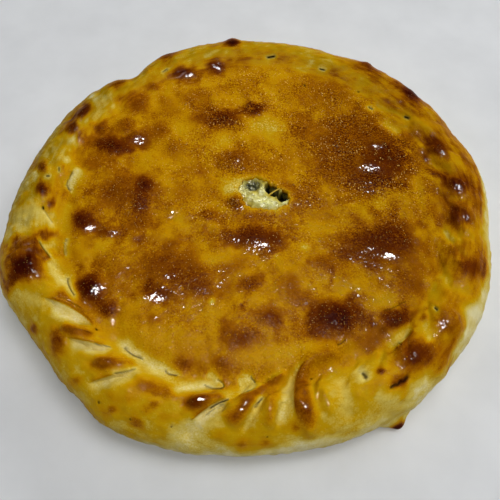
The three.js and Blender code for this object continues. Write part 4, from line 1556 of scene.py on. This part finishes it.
def oven_colour_and_painted_light_group():
    """Colour from the bake level, broken up by fine mottling, dark speckle and dark flecks, toned down by
    painted shade, dotted with bright flecks that are painted glints, and darkened by char and by painted
    shade in slits.
    """
    tree, start, end = new_group(
        "oven_colour",
        (
            ("Bake", "NodeSocketFloat", 0.45),
            ("Char", "NodeSocketFloat", 0.0),
            ("Speckle", "NodeSocketFloat", 0.5),
            ("Flecks", "NodeSocketFloat", 0.5),
            ("Shade", "NodeSocketFloat", 0.0),
        ),
        (("Color", "NodeSocketColor"),),
    )
    place = object_place(tree)
    mottle = math_node(tree, "SUBTRACT", noise(tree, place, scale=150, detail=4, rough=0.6), 0.5)
    level = math_node(tree, "MULTIPLY_ADD", mottle, MOTTLE_BAKE, start.outputs["Bake"])
    patchy = noise(tree, place, scale=60, detail=2, rough=0.5)
    patchy = map_range(tree, patchy, (0.38, 0.62), (0.35, 1.3))
    specks = noise(tree, place, scale=1050, detail=2, rough=0.6)
    specks = math_node(tree, "SUBTRACT", specks, SPECKLE_MIDDLE)
    specks = math_node(tree, "MULTIPLY", specks, start.outputs["Speckle"])
    specks = math_node(tree, "MULTIPLY", specks, patchy)
    level = math_node(tree, "ADD", specks, level)
    cells = add_node(tree, "ShaderNodeTexVoronoi", feature="F1")
    cells.inputs["Scale"].default_value = FLECK_AND_GLINT_SCALE
    tree.links.new(place, cells.inputs["Vector"])
    dots = map_range(tree, cells.outputs["Distance"], FLECK_AND_GLINT_EDGE, (1.0, 0.0))
    crowded = noise(tree, place, scale=75, detail=3, rough=0.6)
    crowded = map_range(tree, crowded, (0.42, 0.66), (0.1, 1.4))
    crowded = math_node(tree, "MULTIPLY", crowded, start.outputs["Flecks"])
    dots = math_node(tree, "MULTIPLY", dots, crowded)
    chance = add_node(tree, "ShaderNodeSeparateColor")
    tree.links.new(cells.outputs["Color"], chance.inputs["Color"])
    # Each cell is either a dark fleck or a painted glint, or neither.
    dark = map_range(tree, chance.outputs["Red"], DARK_FLECK_CHANCE, (0.0, 1.0))
    painted_glint = map_range(tree, chance.outputs["Green"], PAINTED_GLINT_CHANCE, (0.0, 1.0))
    dark = math_node(tree, "MULTIPLY", dots, dark)
    level = math_node(tree, "MULTIPLY_ADD", dark, DARK_FLECK_BAKE, level)
    colour = ramp(tree, level, BAKED_COLOURS)
    # Painted shade makes the colour darker and duller.
    colour = mix_colours(tree, start.outputs["Shade"], colour, PAINTED_SHADE_TONE, "MULTIPLY")
    # Painted glints: bright flecks mixed into the colour.
    painted_glints = math_node(tree, "MULTIPLY", dots, painted_glint, clamp=True)
    colour = mix_colours(tree, painted_glints, colour, PAINTED_GLINT_COLOUR)
    # Char, and painted shade inside slits and holes.
    colour = mix_colours(tree, start.outputs["Char"], colour, CHAR_AND_PAINTED_SHADE_COLOUR)
    tree.links.new(colour, end.inputs["Color"])
    return tree


def skin_group():
    """Height of the fine wrinkles and pimples on a baked or curdled skin."""
    tree, start, end = new_group(
        "fine_skin",
        (("Scale", "NodeSocketFloat", 500.0), ("Grain", "NodeSocketFloat", 1.0)),
        (("Height", "NodeSocketFloat"),),
    )
    place = object_place(tree)
    wrinkles = noise(tree, place, scale=start.outputs["Scale"], detail=0.6, rough=0.4)
    pimples = add_node(tree, "ShaderNodeTexVoronoi", feature="SMOOTH_F1")
    tree.links.new(place, pimples.inputs["Vector"])
    tree.links.new(start.outputs["Scale"], pimples.inputs["Scale"])
    bumps = map_range(tree, pimples.outputs["Distance"], (0.0, 0.7), (1.0, 0.0))
    height = math_node(tree, "MULTIPLY_ADD", bumps, 0.3, wrinkles)
    height = math_node(tree, "MULTIPLY", height, start.outputs["Grain"])
    tree.links.new(height, end.inputs["Height"])
    return tree


def new_material(name):
    material = bpy.data.materials.new(name)
    material.use_nodes = True
    return material, material.node_tree, material.node_tree.nodes["Principled BSDF"]


def use_group(tree, group, **values):
    node = add_node(tree, "ShaderNodeGroup", node_tree=group)
    for name, value in values.items():
        feed(tree, node.inputs[name], value)
    return node


def add_bump(tree, shader, height, depth):
    bump = add_node(tree, "ShaderNodeBump")
    bump.inputs["Strength"].default_value = 1.0
    bump.inputs["Distance"].default_value = depth
    tree.links.new(height, bump.inputs["Height"])
    tree.links.new(bump.outputs["Normal"], shader.inputs["Normal"])
    return bump.outputs["Normal"]


def add_skin(tree, shader, skin, scale, depth):
    """Gives a shader the fine skin's wrinkles."""
    add_bump(tree, shader, use_group(tree, skin, Scale=scale).outputs["Height"], depth)


def brush_streaks(tree, place):
    """Fine streaks that run round the pie, from -0.5 to 0.5."""
    parts = add_node(tree, "ShaderNodeSeparateXYZ")
    flat = add_node(tree, "ShaderNodeCombineXYZ")
    reach = add_node(tree, "ShaderNodeVectorMath", operation="LENGTH")
    outward = add_node(tree, "ShaderNodeVectorMath", operation="NORMALIZE")
    short = add_node(tree, "ShaderNodeVectorMath", operation="SCALE")
    across = add_node(tree, "ShaderNodeCombineXYZ")
    spot = add_node(tree, "ShaderNodeVectorMath", operation="ADD")
    streaks = add_node(tree, "ShaderNodeTexNoise", noise_dimensions="4D")
    for socket, value in (
        (parts.inputs[0], place),
        (flat.inputs["X"], parts.outputs["X"]),
        (flat.inputs["Y"], parts.outputs["Y"]),
        (reach.inputs[0], flat.outputs[0]),
        (outward.inputs[0], flat.outputs[0]),
        (short.inputs[0], outward.outputs[0]),
        (short.inputs["Scale"], STREAK_CIRCLE),
        (across.inputs["Z"], reach.outputs["Value"]),
        (spot.inputs[0], short.outputs[0]),
        (spot.inputs[1], across.outputs[0]),
        (streaks.inputs["Vector"], spot.outputs[0]),
        (streaks.inputs["W"], parts.outputs["Z"]),
        (streaks.inputs["Scale"], STREAK_SCALE),
        (streaks.inputs["Detail"], 2.0),
        (streaks.inputs["Roughness"], 0.6),
    ):
        feed(tree, socket, value)
    return math_node(tree, "SUBTRACT", streaks.outputs["Fac"], 0.5)


def crust_material(oven_colour, skin):
    """Egg-washed dough: the bake gives its colour, with painted shade, painted glints and dark slits added,
    and a thin coat shines on the brown parts.
    """
    material, tree, shader = new_material("egg_washed_crust")
    place = object_place(tree)
    streaks = math_node(tree, "MULTIPLY", brush_streaks(tree, place), attribute(tree, "streaks"))
    bake = math_node(tree, "MULTIPLY_ADD", streaks, STREAK_BAKE, attribute(tree, "bake"))
    flecks = attribute(tree, "flecks")
    marks = {
        "Bake": bake,
        "Shade": attribute(tree, "shade"),
        "Char": attribute(tree, "char"),
        "Speckle": math_node(tree, "MULTIPLY_ADD", flecks, SPECKLE_BY_FLECKS_AND_GLINTS, SPECKLE_LEAST),
        "Flecks": flecks,
    }
    colour = use_group(tree, oven_colour, **marks).outputs["Color"]
    tree.links.new(colour, shader.inputs["Base Color"])
    rough = noise(tree, place, scale=160, detail=3, rough=0.6)
    tree.links.new(map_range(tree, rough, (0.3, 0.7), (0.5, 0.36)), shader.inputs["Roughness"])
    tree.links.new(attribute(tree, "gloss"), shader.inputs["Coat Weight"])
    shader.inputs["Coat Roughness"].default_value = 0.1
    shader.inputs["Specular IOR Level"].default_value = 0.02
    scale, depth = CRUST_SKIN
    height = use_group(tree, skin, Scale=scale, Grain=attribute(tree, "grain")).outputs["Height"]
    height = math_node(tree, "MULTIPLY_ADD", streaks, STREAK_HEIGHT, height)
    tree.links.new(add_bump(tree, shader, height, depth), shader.inputs["Coat Normal"])
    return material


def filling_material(skin):
    """Moist filling: pale curd and green herbs where they lie, and painted shade, near black, in the gaps.
    """
    material, tree, shader = new_material("moist_filling")
    place = object_place(tree)
    colour = ramp(tree, noise(tree, place, scale=300, detail=3, rough=0.6), FILLING_COLOURS)
    cream = ramp(tree, noise(tree, place, scale=420, detail=3, rough=0.6), CREAM_COLOURS)
    greens = ramp(tree, noise(tree, place, scale=520, detail=3, rough=0.6), GREEN_COLOURS)
    colour = mix_colours(tree, attribute(tree, "curd"), colour, cream)
    colour = mix_colours(tree, attribute(tree, "herb"), colour, greens)
    # Painted shade in the gaps.
    colour = mix_colours(tree, attribute(tree, "gap"), colour, PAINTED_GAP_SHADE_COLOUR)
    tree.links.new(colour, shader.inputs["Base Color"])
    shader.inputs["Roughness"].default_value = 0.3
    add_skin(tree, shader, skin, *FILLING_SKIN)
    return material


def two_tone_material(name, colours, scale, detail, roughness):
    """A material whose colour wavers between two tones."""
    material, tree, shader = new_material(name)
    waver = noise(tree, object_place(tree), scale=scale, detail=detail, rough=0.5)
    tree.links.new(ramp(tree, waver, colours), shader.inputs["Base Color"])
    shader.inputs["Roughness"].default_value = roughness
    return material, tree, shader


def curd_material(skin):
    made = two_tone_material("moist_curd", CURD_COLOURS, scale=600, detail=2, roughness=0.3)
    material, tree, shader = made
    add_skin(tree, shader, skin, *CURD_SKIN)
    return material


def herb_material(skin):
    made = two_tone_material("cooked_herb", HERB_COLOURS, scale=500, detail=2, roughness=0.35)
    material, tree, shader = made
    add_skin(tree, shader, skin, *HERB_SKIN)
    return material


def add_piece(name, mesh, material):
    piece = bpy.data.objects.new(name, mesh)
    bpy.context.scene.collection.objects.link(piece)
    mesh.materials.append(material)
    mesh.shade_smooth()
    return piece


def add_camera():
    place, forward, up = camera_frame()
    lens = bpy.data.cameras.new("camera")
    lens.sensor_fit = "HORIZONTAL"
    lens.angle = math.radians(CAMERA_FIELD)
    lens.clip_start = 0.01
    camera = bpy.data.objects.new("camera", lens)
    camera.location = Vector(place * MM)
    camera.rotation_euler = Vector(forward).to_track_quat("-Z", "Y").to_euler()
    bpy.context.scene.collection.objects.link(camera)
    bpy.context.scene.camera = camera


def add_light(name, kind, place, aim, power, **settings):
    lamp = bpy.data.lights.new(name, kind)
    lamp.energy = power
    for key, value in settings.items():
        setattr(lamp, key, value)
    light = bpy.data.objects.new(name, lamp)
    light.location = place
    light.rotation_euler = (Vector(aim) - Vector(place)).to_track_quat("-Z", "Y").to_euler()
    bpy.context.scene.collection.objects.link(light)
    return light


def add_soft_light(name, place, power):
    """A broad light that brightens but shows no reflection of itself."""
    light = add_light(name, "AREA", place, (0, 0, 0), power, shape="SQUARE", size=SOFT_LIGHT_SIZE)
    light.visible_glossy = False


def add_lamp():
    """A small lamp in a narrow cone that only shows as glints."""
    light = add_light(
        "lamp", "SPOT", np.array(LAMP) * MM, LAMP_AIM, LAMP_POWER,
        shadow_soft_size=LAMP_RADIUS, spot_size=math.radians(LAMP_CONE), spot_blend=LAMP_BLEND,
    )
    light.visible_diffuse = False


def add_floor():
    low, high = -FLOOR_REACH, FLOOR_REACH
    corners = [(x, y, FLOOR_HEIGHT) for x, y in ((low, low), (high, low), (high, high), (low, high))]
    mesh = bpy.data.meshes.new("floor")
    mesh.from_pydata(corners, [], [(0, 1, 2, 3)])
    material, _, _ = two_tone_material("pale_floor", FLOOR_COLOURS, scale=30, detail=3, roughness=0.6)
    add_piece("floor", mesh, material)


def add_backdrop():
    """A pale wall round the pie, which only the camera sees."""
    ring = BACKDROP_RADIUS * around(BACKDROP_SIDES)
    corners = [(*xy, z) for z in (0.0, BACKDROP_HEIGHT) for xy in ring.tolist()]
    after = [*range(1, BACKDROP_SIDES), 0]
    faces = [(b, a, a + BACKDROP_SIDES, b + BACKDROP_SIDES) for a, b in enumerate(after)]
    mesh = bpy.data.meshes.new("backdrop")
    mesh.from_pydata(corners, [], faces)
    material, _, shader = new_material("pale_backdrop")
    shader.inputs["Base Color"].default_value = (0, 0, 0, 1)
    shader.inputs["Specular IOR Level"].default_value = 0
    shader.inputs["Emission Color"].default_value = BACKDROP_COLOUR
    shader.inputs["Emission Strength"].default_value = 1
    wall = add_piece("backdrop", mesh, material)
    wall.visible_diffuse = False
    wall.visible_glossy = False
    wall.visible_transmission = False
    wall.visible_shadow = False


def add_studio():
    """The sky's faint light, the lights, the floor and the wall round it."""
    world = bpy.data.worlds.new("studio")
    bpy.context.scene.world = world
    world.use_nodes = True
    background = world.node_tree.nodes["Background"]
    background.inputs["Color"].default_value = SKY_COLOUR
    background.inputs["Strength"].default_value = SKY_STRENGTH
    world.cycles_visibility.glossy = False
    for name, (place, power) in SOFT_LIGHTS.items():
        add_soft_light(name, place, power)
    add_lamp()
    add_floor()
    add_backdrop()
    bpy.context.scene.view_settings.view_transform = "Standard"


def place_piece(piece, node=None):
    """Lets a piece ride on the pie's one body, in place of a node when one is named."""
    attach(piece, "root")
    if node:
        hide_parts(node)


add_camera()
oven_colour = oven_colour_and_painted_light_group()
skin = skin_group()
baked = crust_material(oven_colour, skin)
crust = add_piece("baked_crust", crust_mesh(), baked)
filling = add_piece("curd_filling", filling_mesh(), filling_material(skin))
strand = add_piece("vent_strand", strand_mesh(), baked)
bubbles = scatter("crust_bubbles", crust, [dome_mesh("dome")], "bubbly", baked, BUBBLES)
lumps = [lump_mesh(name, seed) for name, seed in LUMP_SEEDS.items()]
curds = scatter("curd_crumbs", filling, lumps, "curd_spots", curd_material(skin), CURDS, CURD_TILT)
bent = [shred_mesh(name, bend) for name, bend in SHRED_BENDS.items()]
shreds = scatter("herb_shreds", filling, bent, "herb_spots", herb_material(skin), SHREDS, SHRED_TILT)
place_piece(crust, "crust")
place_piece(filling, "filling")
place_piece(strand)
place_piece(bubbles)
place_piece(curds)
place_piece(shreds)
add_studio()
